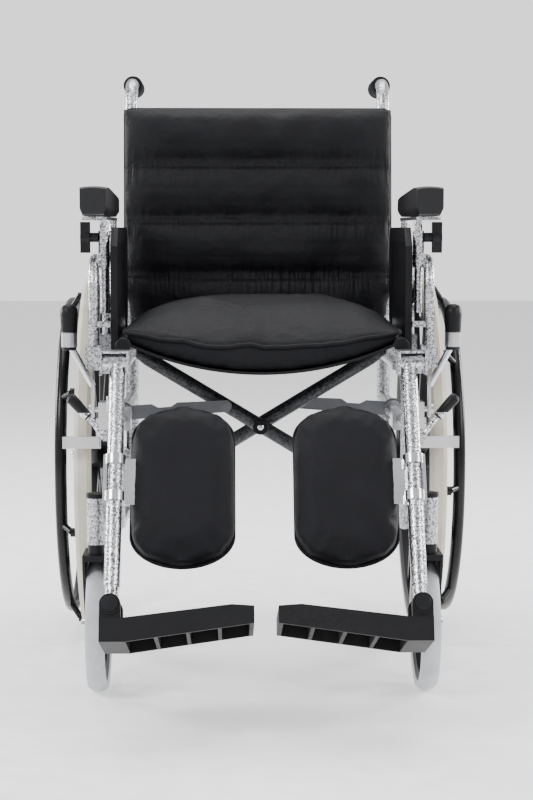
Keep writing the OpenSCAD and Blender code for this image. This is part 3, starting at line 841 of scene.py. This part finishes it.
class SeatCushion(Shop):
    """The padded seat with its piped edge."""

    shape = SeatShape()
    half: float = 201.0
    front: float = -434.0
    rear: float = -78.0
    crown: float = 99.0

    def top(self, x: float, y: float) -> float:
        """Height of the cushion's upper face before it is filled.

        Args:
            x: Millimetres from the middle.
            y: Millimetres behind the rear axle.

        Returns:
            The height in millimetres.
        """
        across = 1.0 - (abs(x) / self.half) ** 4
        ahead = min((y - self.front) / 130.0, 1.0)
        behind = min((self.rear - y) / 40.0, 1.0)
        edge = self.shape.low(0.0) + 42.0 + 22.0 * (x / self.half) ** 2
        rise = (self.crown - 44.0) * across * math.sin(max(ahead, 0.0) * math.pi / 2) ** 0.8
        wave = noise.noise(Vector((x / 26, y / 90, 3.1))) * 5.0 + noise.noise(Vector((x / 60, y / 60, 8.4))) * 6.0
        return edge + rise * (0.75 + 0.25 * max(behind, 0.0)) + wave * across

    def at(self, corner: Vector) -> Vector:
        """Maps the unit block onto the cushion.

        Args:
            corner: A point of the block, from -1 to 1.

        Returns:
            The point on the cushion.
        """
        x = corner.x * self.half
        y = self.front + (corner.y + 1) / 2 * (self.rear - self.front)
        low = self.shape.low(x) + 1.0
        high = max(self.top(x, y), low + 16.0)
        return mm(x, y, low + (corner.z + 1) / 2 * (high - low))

    def build(self) -> None:
        """Makes the cushion and its piping."""
        pad = self.block("seat_cushion_pad", 24)
        self.reshape(pad, self.at)
        seam = [self.edge(t / 90) for t in range(90)]

        def held(point: Vector) -> float:
            """Holds the underside and the piped edge."""
            x = point.x * 1000
            if point.z * 1000 < self.shape.low(x) + 6.0:
                return 1.0
            near = min((point - s).length for s in seam)
            return max(0.0, 1.0 - near / 0.012)

        self.inflate(pad, held, 5.0, 0.011, 0.0065)
        self.limit(pad)
        self.modify(pad, "SMOOTH", factor=0.5, iterations=2)
        self.modify(pad, "SUBSURF", levels=1, render_levels=1)
        self.smooth(pad, 180.0)
        self.coat(pad, FINISHES["vinyl"], "vinyl")
        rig.replaces(pad, "seat_cushion")
        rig.blend(pad, "cross_a", "cross_b", mm(150, -250, 540), mm(-150, -250, 540))
        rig.padded(pad, 0.7)
        cord = self.tube("seat_piping", seam, 0.0035, True)
        self.smooth(cord, 180.0)
        self.coat(cord, FINISHES["vinyl"], "vinyl")
        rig.blend(cord, "cross_a", "cross_b", mm(150, -250, 540), mm(-150, -250, 540))
        self.log.info("seat cushion with %d faces", len(pad.data.polygons))

    def edge(self, share: float) -> Vector:
        """A point on the piping's line round the upper edge.

        Args:
            share: How far round it is, from 0 to 1.

        Returns:
            The point.
        """
        wide, deep = self.half * 2, self.rear - self.front
        run = share * 2 * (wide + deep)
        if run < wide:
            x, y = run - self.half, self.front
        elif run < wide + deep:
            x, y = self.half, self.front + run - wide
        elif run < 2 * wide + deep:
            x, y = self.half - (run - wide - deep), self.rear
        else:
            x, y = -self.half, self.rear - (run - 2 * wide - deep)
        return mm(x, y, self.top(x, y) - 5.0)

    def limit(self, pad: bpy.types.Object) -> None:
        """Keeps the filled cushion above the sling and between the skirt guards.

        Args:
            pad: The cushion.
        """
        for vertex in pad.data.vertices:
            x = max(-212.0, min(212.0, vertex.co.x * 1000))
            vertex.co.x = x / 1000
            vertex.co.z = max(vertex.co.z, (self.shape.low(x) + 0.6) / 1000)


class SeatSling(Shop):
    """The cloth that hangs between the seat rails."""

    shape = SeatShape()
    front: float = -440.0
    rear: float = -38.0
    reach: float = 200.5

    def build(self) -> None:
        """Makes the sling and its edge bindings."""
        count = 40
        rows = 24
        self.clear()
        bpy.ops.mesh.primitive_grid_add(x_subdivisions=count, y_subdivisions=rows, size=2.0)
        cloth = self.named("seat_sling_cloth")

        def at(point: Vector) -> Vector:
            """Maps the flat grid onto the sag."""
            x = point.x * self.reach
            y = self.front + (point.y + 1) / 2 * (self.rear - self.front)
            return mm(x, y, self.shape.low(x) - 1.3)

        self.reshape(cloth, at)
        self.modify(cloth, "SOLIDIFY", thickness=0.0018, offset=0.0)
        self.smooth(cloth, 60.0)
        self.coat(cloth, FINISHES["sling_fabric"], "sling_fabric")
        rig.replaces(cloth, "seat_sling")
        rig.blend(cloth, "cross_a", "cross_b", mm(150, -250, 500), mm(-150, -250, 500))
        hems = []
        for name, y in (("front", self.front + 3), ("rear", self.rear - 3)):
            line = [mm(x, y, self.shape.low(x) - 1.3) for x in range(-198, 199, 9)]
            hem = self.tube(f"seat_sling_hem_{name}", line, 0.0022, False, 3)
            self.smooth(hem, 180.0)
            self.coat(hem, FINISHES["sling_fabric"], "sling_fabric")
            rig.blend(hem, "cross_a", "cross_b", mm(150, -250, 500), mm(-150, -250, 500))
            hems.append(hem)
        angle = 2 * math.asin(self.reach / self.shape.radius)
        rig.sheet(cloth, (angle * self.shape.radius / 1000, (self.rear - self.front) / 1000), "stretched",
                 ["cross_tube_a", "cross_tube_b"], with_pieces=hems)
        self.log.info("seat sling with %d faces", len(cloth.data.polygons))


@dataclass
class BackShape:
    """The slope of the back canes, and heights measured along it.

    Attributes:
        foot: Height where the canes start to lean, in millimetres.
        lean: Angle of the canes, in degrees.
    """

    foot: float = 560.0
    lean: float = math.degrees(math.atan(38 / 371))

    def at(self, x: float, depth: float, up: float) -> Vector:
        """A point beside the canes.

        Args:
            x: Millimetres to the left.
            depth: Millimetres behind the canes' middle plane.
            up: Millimetres up the canes from where they lean.

        Returns:
            The point in the scene's frame.
        """
        a = math.radians(self.lean)
        return mm(x, depth * math.cos(a) + up * math.sin(a),
                  self.foot - depth * math.sin(a) + up * math.cos(a))


class BackCushion(Shop):
    """The quilted cushion in front of the canes."""

    shape = BackShape()
    half: float = 222.0
    low: float = -28.0
    high: float = 325.0
    rear: float = -14.6
    thick: float = 47.0
    roll: float = 93.5

    def front(self, x: float, up: float) -> float:
        """Depth of the front face before it is filled.

        Args:
            x: Millimetres to the left.
            up: Millimetres up the canes.

        Returns:
            Millimetres behind the canes' middle plane.
        """
        place = ((self.high + 3 - up) / self.roll) % 1.0 * 2 - 1
        round_off = math.sqrt(max(0.0, 1.0 - place * place))
        side = 1.0 - (abs(x) / self.half) ** 8
        end = min((self.high - up) / 16.0, (up - self.low) / 14.0, 1.0)
        pucker = noise.noise(Vector((x / 15, up / 55, 1.7))) * 5.0 * (1.15 - round_off)
        drape = noise.noise(Vector((x / 55, up / 40, 5.2))) * 5.0
        return self.rear - 14.0 - (self.thick - 14.0) * (0.2 + 0.8 * round_off) * (
            0.45 + 0.55 * side) * (0.6 + 0.4 * max(end, 0.0)) + (pucker + drape) * side

    def at(self, corner: Vector) -> Vector:
        """Maps the unit block onto the cushion.

        Args:
            corner: A point of the block, from -1 to 1.

        Returns:
            The point on the cushion.
        """
        up = self.low + (corner.z + 1) / 2 * (self.high - self.low)
        tuck = max(0.0, min(1.0, (14.0 - up) / 14.0))
        x = corner.x * (self.half - 7.0 * tuck)
        front = self.front(corner.x * self.half, up)
        return self.shape.at(x, self.rear + (1 - corner.y) / 2 * (front - self.rear), up)

    def build(self) -> None:
        """Makes the cushion and its piping."""
        pad = self.block("back_cushion_pad", 40)
        self.reshape(pad, self.at)
        seams = [self.high + 3 - self.roll * k for k in (1, 2, 3)]
        lean = math.radians(self.shape.lean)

        def slope(point: Vector) -> tuple[float, float]:
            """Depth and height of a point beside the canes."""
            y, z = (point.y - AXLE_Y) * 1000, point.z * 1000 - self.shape.foot
            return (y * math.cos(lean) - z * math.sin(lean), y * math.sin(lean) + z * math.cos(lean))

        def held(point: Vector) -> float:
            """Holds the rear face and the stitched channels."""
            depth, up = slope(point)
            if depth > self.rear - 6.0:
                return 1.0
            near = min(abs(up - s) for s in seams)
            return max(0.0, 1.0 - near / 7.0)

        self.inflate(pad, held, 6.0, 0.012, 0.006)
        for vertex in pad.data.vertices:
            depth, _ = slope(vertex.co)
            if depth > self.rear:
                vertex.co.y -= (depth - self.rear) / 1000
            vertex.co.x = max(-0.2255, min(0.2255, vertex.co.x))
        self.modify(pad, "SMOOTH", factor=0.5, iterations=2)
        self.modify(pad, "SUBSURF", levels=1, render_levels=1)
        self.smooth(pad, 180.0)
        self.coat(pad, QUILTED, "vinyl")
        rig.ride(pad, "right_side")
        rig.replaces(pad, "back_cushion")
        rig.squash(pad, "fold", (1, 0, 0), mm(-213, 0, 700), FOLDED_WIDTH)
        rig.padded(pad, 0.8)
        rim = [self.shape.at(x, self.rear - 5, up) for x, up in self.outline()]
        cord = self.tube("back_piping", rim, 0.0032, True)
        self.smooth(cord, 180.0)
        self.coat(cord, FINISHES["vinyl"], "vinyl")
        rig.ride(cord, "right_side")
        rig.squash(cord, "fold", (1, 0, 0), mm(-213, 0, 700), FOLDED_WIDTH)
        self.log.info("back cushion with %d faces", len(pad.data.polygons))

    def outline(self) -> list[tuple[float, float]]:
        """Returns points round the cushion's edge with small round corners."""
        found = []
        r, foot = 12.0, 12.0
        for cx, cy, start in ((1, 1, 0), (-1, 1, 90), (-1, -1, 180), (1, -1, 270)):
            for step in range(7):
                a = math.radians(start + step * 15)
                mid_x = cx * (self.half - r)
                mid_y = (self.high - r) if cy > 0 else (foot + r)
                found.append((mid_x + r * math.cos(a), mid_y + r * math.sin(a)))
        return found


class BackSling(Shop):
    """The cloth sleeved over the canes behind the cushion."""

    shape = BackShape()
    low: float = 24.0
    high: float = 327.0
    sleeve: float = 12.4
    half: float = 213.0

    def section(self) -> list[tuple[float, float]]:
        """Returns the sling's line seen from above, as x and depth, all the way round."""
        line = []
        for side in (1, -1):
            arc = []
            for step in range(25):
                a = math.radians(-90 + 180 * step / 24)
                arc.append((side * (self.half + self.sleeve * math.cos(a)), self.sleeve * math.sin(a)))
            line += arc if side > 0 else arc[::-1]
        return line

    def build(self) -> None:
        """Makes the sling."""
        line = self.section()
        rows = 30
        count = len(line)
        self.clear()
        bpy.ops.mesh.primitive_cylinder_add(vertices=count, radius=1.0, depth=2.0, end_fill_type="NOTHING")
        cloth = self.named("back_sling_cloth")
        bpy.ops.object.mode_set(mode="EDIT")
        bpy.ops.mesh.select_all(action="SELECT")
        bpy.ops.object.mode_set(mode="OBJECT")
        order = sorted({round(math.atan2(v.co.x, v.co.y), 4) for v in cloth.data.vertices})
        place = {a: line[k] for k, a in enumerate(order)}

        def at(point: Vector) -> Vector:
            """Maps the plain drum onto the sling."""
            x, depth = place[round(math.atan2(point.x, point.y), 4)]
            up = self.low if point.z < 0 else self.high
            return self.shape.at(x, depth, up)

        self.reshape(cloth, at)
        self.modify(cloth, "SOLIDIFY", thickness=0.0018, offset=0.0)
        self.smooth(cloth, 50.0)
        self.coat(cloth, FINISHES["sling_fabric"], "sling_fabric")
        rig.ride(cloth, "right_side")
        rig.replaces(cloth, "back_sling")
        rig.squash(cloth, "fold", (1, 0, 0), mm(-213, 0, 700), FOLDED_WIDTH)
        round_length = sum(math.dist(line[k], line[(k + 1) % count]) for k in range(count))
        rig.sheet(cloth, (round_length / 1000, (self.high - self.low) / 1000), "stretched",
                 ["side_frame_left", "side_frame_right"])
        self.log.info("back sling of %d rows", rows)


@dataclass
class Leg:
    """The leaning frame of one leg tube.

    Attributes:
        side: 1 for left, -1 for right.
        knee: The knee pivot in millimetres.
        lean: How far the tube leans forward, in degrees.
    """

    side: int
    knee: Point = (206.0, -515.0, 497.0)
    lean: float = 30.0

    def at(self, x: float, depth: float, up: float) -> Vector:
        """A point beside the leg tube.

        Args:
            x: Millimetres outward from the tube.
            depth: Millimetres behind it.
            up: Millimetres up it from the knee.

        Returns:
            The point in the scene's frame.
        """
        a = math.radians(self.lean)
        return mm(self.side * (self.knee[0] + x),
                  self.knee[1] + depth * math.cos(a) + up * math.sin(a),
                  self.knee[2] - depth * math.sin(a) + up * math.cos(a))


class CalfPad(Shop):
    """One padded calf rest and its piping."""

    wide: float = 72.0
    tall: float = 119.5
    middle: Point = (-93.0, 0.0, -178.0)
    rear: float = 41.5
    front: float = 1.0
    straight: float = 72.0

    def at(self, leg: Leg, corner: Vector) -> Vector:
        """Maps the unit block onto the pad.

        Args:
            leg: The leg that carries it.
            corner: A point of the block, from -1 to 1.

        Returns:
            The point on the pad.
        """
        u, w = corner.x, corner.z
        over = max(0.0, (abs(w) * self.tall - self.straight) / (self.tall - self.straight))
        round_x = u * (math.sqrt(max(0.0, 1.0 - over * over)) * (1.0 - 0.03 * w * w))
        swell = (1 - abs(u) ** 4) * (1 - abs(w) ** 6)
        depth = (self.rear - 3 if corner.y > 0 else self.front + 6 - 4 * swell)
        t = abs(corner.y)
        centre = (self.rear + self.front) / 2 + 2
        return leg.at(self.middle[0] + round_x * self.wide, centre + (depth - centre) * t,
                      self.middle[2] + w * self.tall)

    def build(self, name: str, side: int) -> None:
        """Makes one pad.

        Args:
            name: "left" or "right".
            side: 1 for left, -1 for right.
        """
        leg = Leg(side)
        pad = self.block(f"calf_pad_cover_{name}", 14)
        self.reshape(pad, lambda c: self.at(leg, c))
        back = leg.at(0, self.rear - 8, 0)
        lean = math.radians(leg.lean)
        normal = Vector((0.0, math.cos(lean), -math.sin(lean)))

        def held(point: Vector) -> float:
            """Holds the pad against its board."""
            return 1.0 if (point - back).dot(normal) > 0 else 0.0

        self.inflate(pad, held, 5.0, 0.006, 0.0055)
        self.modify(pad, "SMOOTH", factor=0.5, iterations=3)
        self.modify(pad, "SUBSURF", levels=1, render_levels=1)
        self.smooth(pad, 180.0)
        self.coat(pad, FINISHES["calf_vinyl"], "calf_vinyl")
        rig.ride(pad, f"calf_{name}")
        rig.replaces(pad, f"calf_pad_{name}")
        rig.padded(pad, 0.9)
        rim = []
        for step in range(64):
            a = (step + 0.5) / 64 * 2 * math.pi
            c, s = math.cos(a), math.sin(a)
            x = (self.wide - 1.5) * c
            z = (self.tall - self.straight - 1.5) * s + math.copysign(self.straight, s)
            rim.append(leg.at(self.middle[0] + x, self.rear - 13, self.middle[2] + z))
        cord = self.tube(f"calf_pad_piping_{name}", rim, 0.0026, True)
        self.smooth(cord, 180.0)
        self.coat(cord, FINISHES["calf_vinyl"], "calf_vinyl")
        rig.ride(cord, f"calf_{name}")
        self.log.info("calf pad %s with %d faces", name, len(pad.data.polygons))


class ArmPad(Shop):
    """One moulded arm pad."""

    half: float = 21.6
    inner: float = 248.0
    front: float = -397.5
    rear: float = -76.5

    def at(self, side: int, corner: Vector) -> Vector:
        """Maps the unit block onto the pad.

        Args:
            side: 1 for left, -1 for right.
            corner: A point of the block, from -1 to 1.

        Returns:
            The point on the pad.
        """
        t = (corner.y + 1) / 2
        nose = 1 - math.exp(-t * 24)
        tail = 1 - math.exp(-(1 - t) * 18)
        top = 750.5 - 15.0 * t - 5.0 * (1 - nose) - 7.0 * (1 - tail)
        low = 704.6 + 3.0 * (1 - nose) + 9.0 * (1 - tail)
        across = self.half * (0.9 + 0.1 * min(nose, tail))
        crown = 2.0 * (1 - corner.x * corner.x) if corner.z > 0 else 0.0
        z = low + (corner.z + 1) / 2 * (top - low) - (2.0 if corner.z > 0 else 0.0) + crown
        tuck = 0.80 + 0.20 * min((corner.z + 1) * 2.2, 1.0)
        return mm(side * self.inner + corner.x * across * tuck, self.front + t * (self.rear - self.front), z)

    def build(self, name: str, side: int) -> None:
        """Makes one pad.

        Args:
            name: "left" or "right".
            side: 1 for left, -1 for right.
        """
        pad = self.block(f"arm_pad_cover_{name}", 14)
        self.reshape(pad, lambda c: self.at(side, c))
        self.modify(pad, "BEVEL", width=0.006, segments=3, limit_method="ANGLE",
                    angle_limit=math.radians(50))
        self.smooth(pad, 60.0)
        self.coat(pad, FINISHES["pad_black"], "pad_black")
        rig.ride(pad, f"arm_pad_{name}")
        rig.replaces(pad, f"arm_pad_{name}")
        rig.padded(pad, 1.0)
        self.log.info("arm pad %s with %d faces", name, len(pad.data.polygons))


# ---------------------------------------------------------------- small hardware


class Head(Enum):
    """The shape of a fastener or cap."""

    DOME = "dome"
    HEX = "hex"
    CAP = "cap"


@dataclass(frozen=True)
class Fastener:
    """One bolt head, nut or cap.

    Attributes:
        name: The piece's name.
        body: The CAD body that it rides on.
        place: The middle of its seat, as the scene's point.
        axis: The way it stands out.
        radius: Its radius in metres.
        height: How far it stands out, in metres.
        head: Its shape.
        slot: The material slot of its finish.
    """

    name: str
    body: str
    place: Vector
    axis: Vector
    radius: float
    height: float
    head: Head
    slot: str


class Hardware(Shop):
    """Bolt heads, nuts and plastic caps."""

    def add(self, item: Fastener) -> None:
        """Makes one fastener.

        Args:
            item: What to make.
        """
        turn = item.axis.normalized().to_track_quat("Z", "Y").to_euler()
        self.clear()
        if item.head is Head.HEX:
            bpy.ops.mesh.primitive_cylinder_add(vertices=6, radius=item.radius, depth=item.height)
        else:
            bpy.ops.mesh.primitive_cylinder_add(vertices=32, radius=item.radius, depth=item.height)
        piece = self.named(item.name)
        piece.rotation_euler = turn
        piece.location = item.place + item.axis.normalized() * (item.height / 2)
        soft = item.height * (0.62 if item.head is Head.DOME else 0.22)
        self.modify(piece, "BEVEL", width=min(soft, item.radius * 0.6), segments=4, limit_method="ANGLE",
                    angle_limit=math.radians(70))
        self.settle(piece)
        self.smooth(piece, 35.0)
        self.coat(piece, FINISHES[item.slot], item.slot)
        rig.ride(piece, item.body)

    def items(self) -> list[Fastener]:
        """Returns every fastener on both sides."""
        found: list[Fastener] = []
        up, fore = Vector((0, 0, 1)), Vector((0, -1, 0))
        tilt = math.radians(20)
        toe = Vector((0, -math.cos(tilt), math.sin(tilt)))
        back = BackShape()
        for name, s in SIDES:
            out = Vector((s, 0, 0))
            side = f"{name}_side"
            rail = "cross_a" if s > 0 else "cross_b"
            found += [
                Fastener(f"caster_cap_{name}", side, mm(s * 243, -455, 295.9), up, 0.0142, 0.007,
                         Head.CAP, "lever_plastic"),
                Fastener(f"rail_cap_front_{name}", rail, mm(s * 202, -447.9, 517), fore, 0.0112, 0.004,
                         Head.CAP, "lever_plastic"),
                Fastener(f"rail_cap_rear_{name}", rail, mm(s * 202, -34.1, 517), -fore, 0.0112, 0.004,
                         Head.CAP, "lever_plastic"),
                Fastener(f"foot_cap_{name}", f"footplate_{name}", mm(s * 206, -696, 183.5) + toe * 0.0359,
                         toe, 0.0105, 0.003, Head.CAP, "foot_plastic"),
                Fastener(f"brake_bolt_low_{name}", side, mm(s * 244.9, -332, 412), out, 0.0045, 0.003,
                         Head.HEX, "bright_steel"),
                Fastener(f"brake_bolt_high_{name}", side, mm(s * 244.9, -357, 390), out, 0.0045, 0.003,
                         Head.HEX, "bright_steel"),
                Fastener(f"wheel_cap_{name}", side, mm(s * 313.8, 0, 305), out, 0.008, 0.003, Head.DOME,
                         "bright_steel"),
                Fastener(f"post_cap_{name}", side, mm(s * 213, -474, 472.8), up, 0.0086, 0.004, Head.CAP,
                         "lever_plastic"),
            ]
            for k, high in enumerate((40, 120, 200, 280)):
                seat = back.at(s * 213, 13.2, high)
                found.append(Fastener(f"back_screw_{name}_{k}", side, seat, -fore, 0.0048, 0.0026,
                                      Head.DOME, "bright_steel"))
        return found

    def build(self) -> None:
        """Makes them all."""
        for item in self.items():
            self.add(item)
        self.log.info("%d fasteners and caps", len(self.items()))


class Grips(Shop):
    """Black hand grips over the steel levers, and the washer and nut on the cross bolt."""

    def turned(self, name: str, foot: Vector, top: Vector, profile: Sequence[tuple[float, float]],
               body: str, slot: str) -> None:
        """Makes a turned piece between two points.

        Args:
            name: The piece's name.
            foot: Where it starts.
            top: Where it ends.
            profile: Shares of the way along, with the radius there in metres.
            body: The CAD body that it rides on.
            slot: The material slot of its finish.
        """
        sides = 28
        way = top - foot
        turn = way.to_track_quat("Z", "Y").to_matrix()
        verts = [foot]
        for share, radius in profile:
            for k in range(sides):
                a = 2 * math.pi * k / sides
                verts.append(foot + way * share + turn @ Vector((radius * math.cos(a), radius * math.sin(a), 0)))
        verts.append(top)
        rings = len(profile)
        faces = [(0, 1 + (k + 1) % sides, 1 + k) for k in range(sides)]
        for r in range(rings - 1):
            for k in range(sides):
                a, b = 1 + r * sides + k, 1 + r * sides + (k + 1) % sides
                faces.append((a, b, b + sides, a + sides))
        last = 1 + (rings - 1) * sides
        faces += [(len(verts) - 1, last + k, last + (k + 1) % sides) for k in range(sides)]
        mesh = bpy.data.meshes.new(name)
        mesh.from_pydata([tuple(v) for v in verts], [], faces)
        piece = bpy.data.objects.new(name, mesh)
        bpy.context.scene.collection.objects.link(piece)
        self.smooth(piece, 45.0)
        self.coat(piece, FINISHES[slot], slot)
        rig.ride(piece, body)

    def build(self) -> None:
        """Makes them on both sides."""
        lever = [(0.0, 0.0098), (0.03, 0.0112), (0.45, 0.0122), (0.78, 0.0134), (0.90, 0.0126),
                 (0.97, 0.0092), (1.0, 0.0040)]
        small = [(0.0, 0.0058), (0.05, 0.0066), (0.6, 0.0079), (0.88, 0.0080), (0.96, 0.0062), (1.0, 0.0026)]
        for name, s in SIDES:
            self.turned(f"brake_grip_{name}", mm(s * 289, -345, 504), mm(s * 289, -345, 573), lever,
                        f"brake_lever_{name}", "lever_plastic")
            self.turned(f"release_grip_{name}", mm(s * 249, -498, 418), mm(s * 277, -498, 448.5), small,
                        f"release_lever_{name}", "lever_plastic")
        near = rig.box("cross_bolt")[0].y * 1000 - AXLE_Y * 1000
        self.turned("cross_bolt_washer", mm(0, near + 1.5, 378), mm(0, near - 2.2, 378),
                    [(0.0, 0.0125), (0.7, 0.0125), (1.0, 0.0115)], "cross_a", "lever_plastic")
        self.turned("cross_bolt_nut", mm(0, near, 378), mm(0, near - 6.0, 378),
                    [(0.0, 0.0048), (0.75, 0.0048), (1.0, 0.0026)], "cross_a", "bright_steel")
        self.log.info("grips and the bolt's washer made")


class CadSkins(Shop):
    """Finishes on the CAD's own meshes."""

    def build(self, nodes: dict[str, bpy.types.Object], record: dict) -> None:
        """Paints every CAD node with its slot's finish.

        Args:
            nodes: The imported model's nodes.
            record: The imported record.
        """
        slots = {row["node"]: row["material_slot"] for row in record["subparts"]}
        for name, node in nodes.items():
            material = self.palette.get(FINISHES[slots[name]])
            for holder in node.material_slots:
                holder.material = material
            if not node.material_slots:
                node.data.materials.append(material)
        self.log.info("%d CAD nodes painted", len(nodes))


# ---------------------------------------------------------------- studio


@dataclass
class Studio:
    """Floor, light and camera.

    Attributes:
        eye: The camera's place in millimetres from the rear axle.
        yaw: How far the camera turns to +X, in radians.
        pitch: How far it looks up, in radians.
        lens: Focal length in millimetres for a 36 mm long side.
        ambient: Strength of the light from all round.
        backdrop: Brightness of the background behind the chair.
    """

    eye: Point = (-47.9, -3108.9, 683.8)
    yaw: float = 0.0201
    pitch: float = -0.0922
    lens: float = 82.67
    ambient: float = 0.75
    backdrop: float = 1.5

    def build(self, palette: Palette) -> None:
        """Makes the stage.

        Args:
            palette: Where the floor's finish is built.
        """
        bpy.ops.object.select_all(action="DESELECT")
        bpy.ops.mesh.primitive_plane_add(size=30.0, location=(0, 0, -0.0004))
        floor = bpy.context.object
        floor.name = "studio_floor"
        floor.data.materials.append(palette.get(FLOOR))
        lights = [
            ("key_light", (-2.4, -2.4, 2.8), 1.3, 95.0),
            ("fill_light", (2.8, -1.8, 2.0), 1.2, 55.0),
            ("top_light", (0.0, 0.6, 3.6), 3.0, 120.0),
            ("left_strip", (-2.8, 1.2, 1.2), 1.0, 80.0),
            ("right_strip", (2.8, 1.4, 1.2), 1.0, 80.0),
        ]
        placed = [floor]
        for name, spot, size, power in lights:
            bpy.ops.object.light_add(type="AREA", location=spot)
            lamp = bpy.context.object
            lamp.name = name
            lamp.data.size = size
            lamp.data.energy = power
            lamp.rotation_euler = (Vector((0, 0, 0.45)) - Vector(spot)).to_track_quat("-Z", "Y").to_euler()
            placed.append(lamp)
        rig.stage(*placed)
        world = bpy.data.worlds.new("StudioWorld")
        bpy.context.scene.world = world
        world.use_nodes = True
        tree = world.node_tree
        dim, bright = tree.nodes["Background"], tree.nodes.new("ShaderNodeBackground")
        dim.inputs["Color"].default_value = (0.94, 0.95, 0.97, 1.0)
        dim.inputs["Strength"].default_value = self.ambient
        bright.inputs["Color"].default_value = (1.0, 1.0, 1.0, 1.0)
        bright.inputs["Strength"].default_value = self.backdrop
        seen = tree.nodes.new("ShaderNodeLightPath")
        either = tree.nodes.new("ShaderNodeMixShader")
        tree.links.new(seen.outputs["Is Camera Ray"], either.inputs[0])
        tree.links.new(dim.outputs[0], either.inputs[1])
        tree.links.new(bright.outputs[0], either.inputs[2])
        tree.links.new(either.outputs[0], tree.nodes["World Output"].inputs["Surface"])
        bpy.ops.object.camera_add(location=mm(*self.eye))
        camera = bpy.context.object
        camera.name = "studio_camera"
        camera.data.lens = self.lens
        camera.data.sensor_width = 36.0
        camera.rotation_euler = Euler((math.pi / 2 + self.pitch, 0.0, -self.yaw))
        bpy.context.scene.camera = camera
        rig.stage(camera)


def main(frame: dict) -> None:
    """Builds the whole scene.
    """
    random.seed(7)
    palette = Palette()
    CadSkins(palette).build(frame["nodes"], frame["record"])
    SeatSling(palette).build()
    SeatCushion(palette).build()
    BackSling(palette).build()
    BackCushion(palette).build()
    for name, side in SIDES:
        CalfPad(palette).build(name, side)
        ArmPad(palette).build(name, side)
    Hardware(palette).build()
    Grips(palette).build()
    Studio().build(palette)


if __name__ == "__main__":
    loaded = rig.load()
    cad_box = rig.bounds()
    main(loaded)
    with open("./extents.json", "w", encoding="utf-8") as size_file:
        boxes = {"cad": cad_box, "visual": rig.bounds()}
        json.dump({k: [list(map(float, corner)) for corner in b] for k, b in boxes.items()}, size_file)
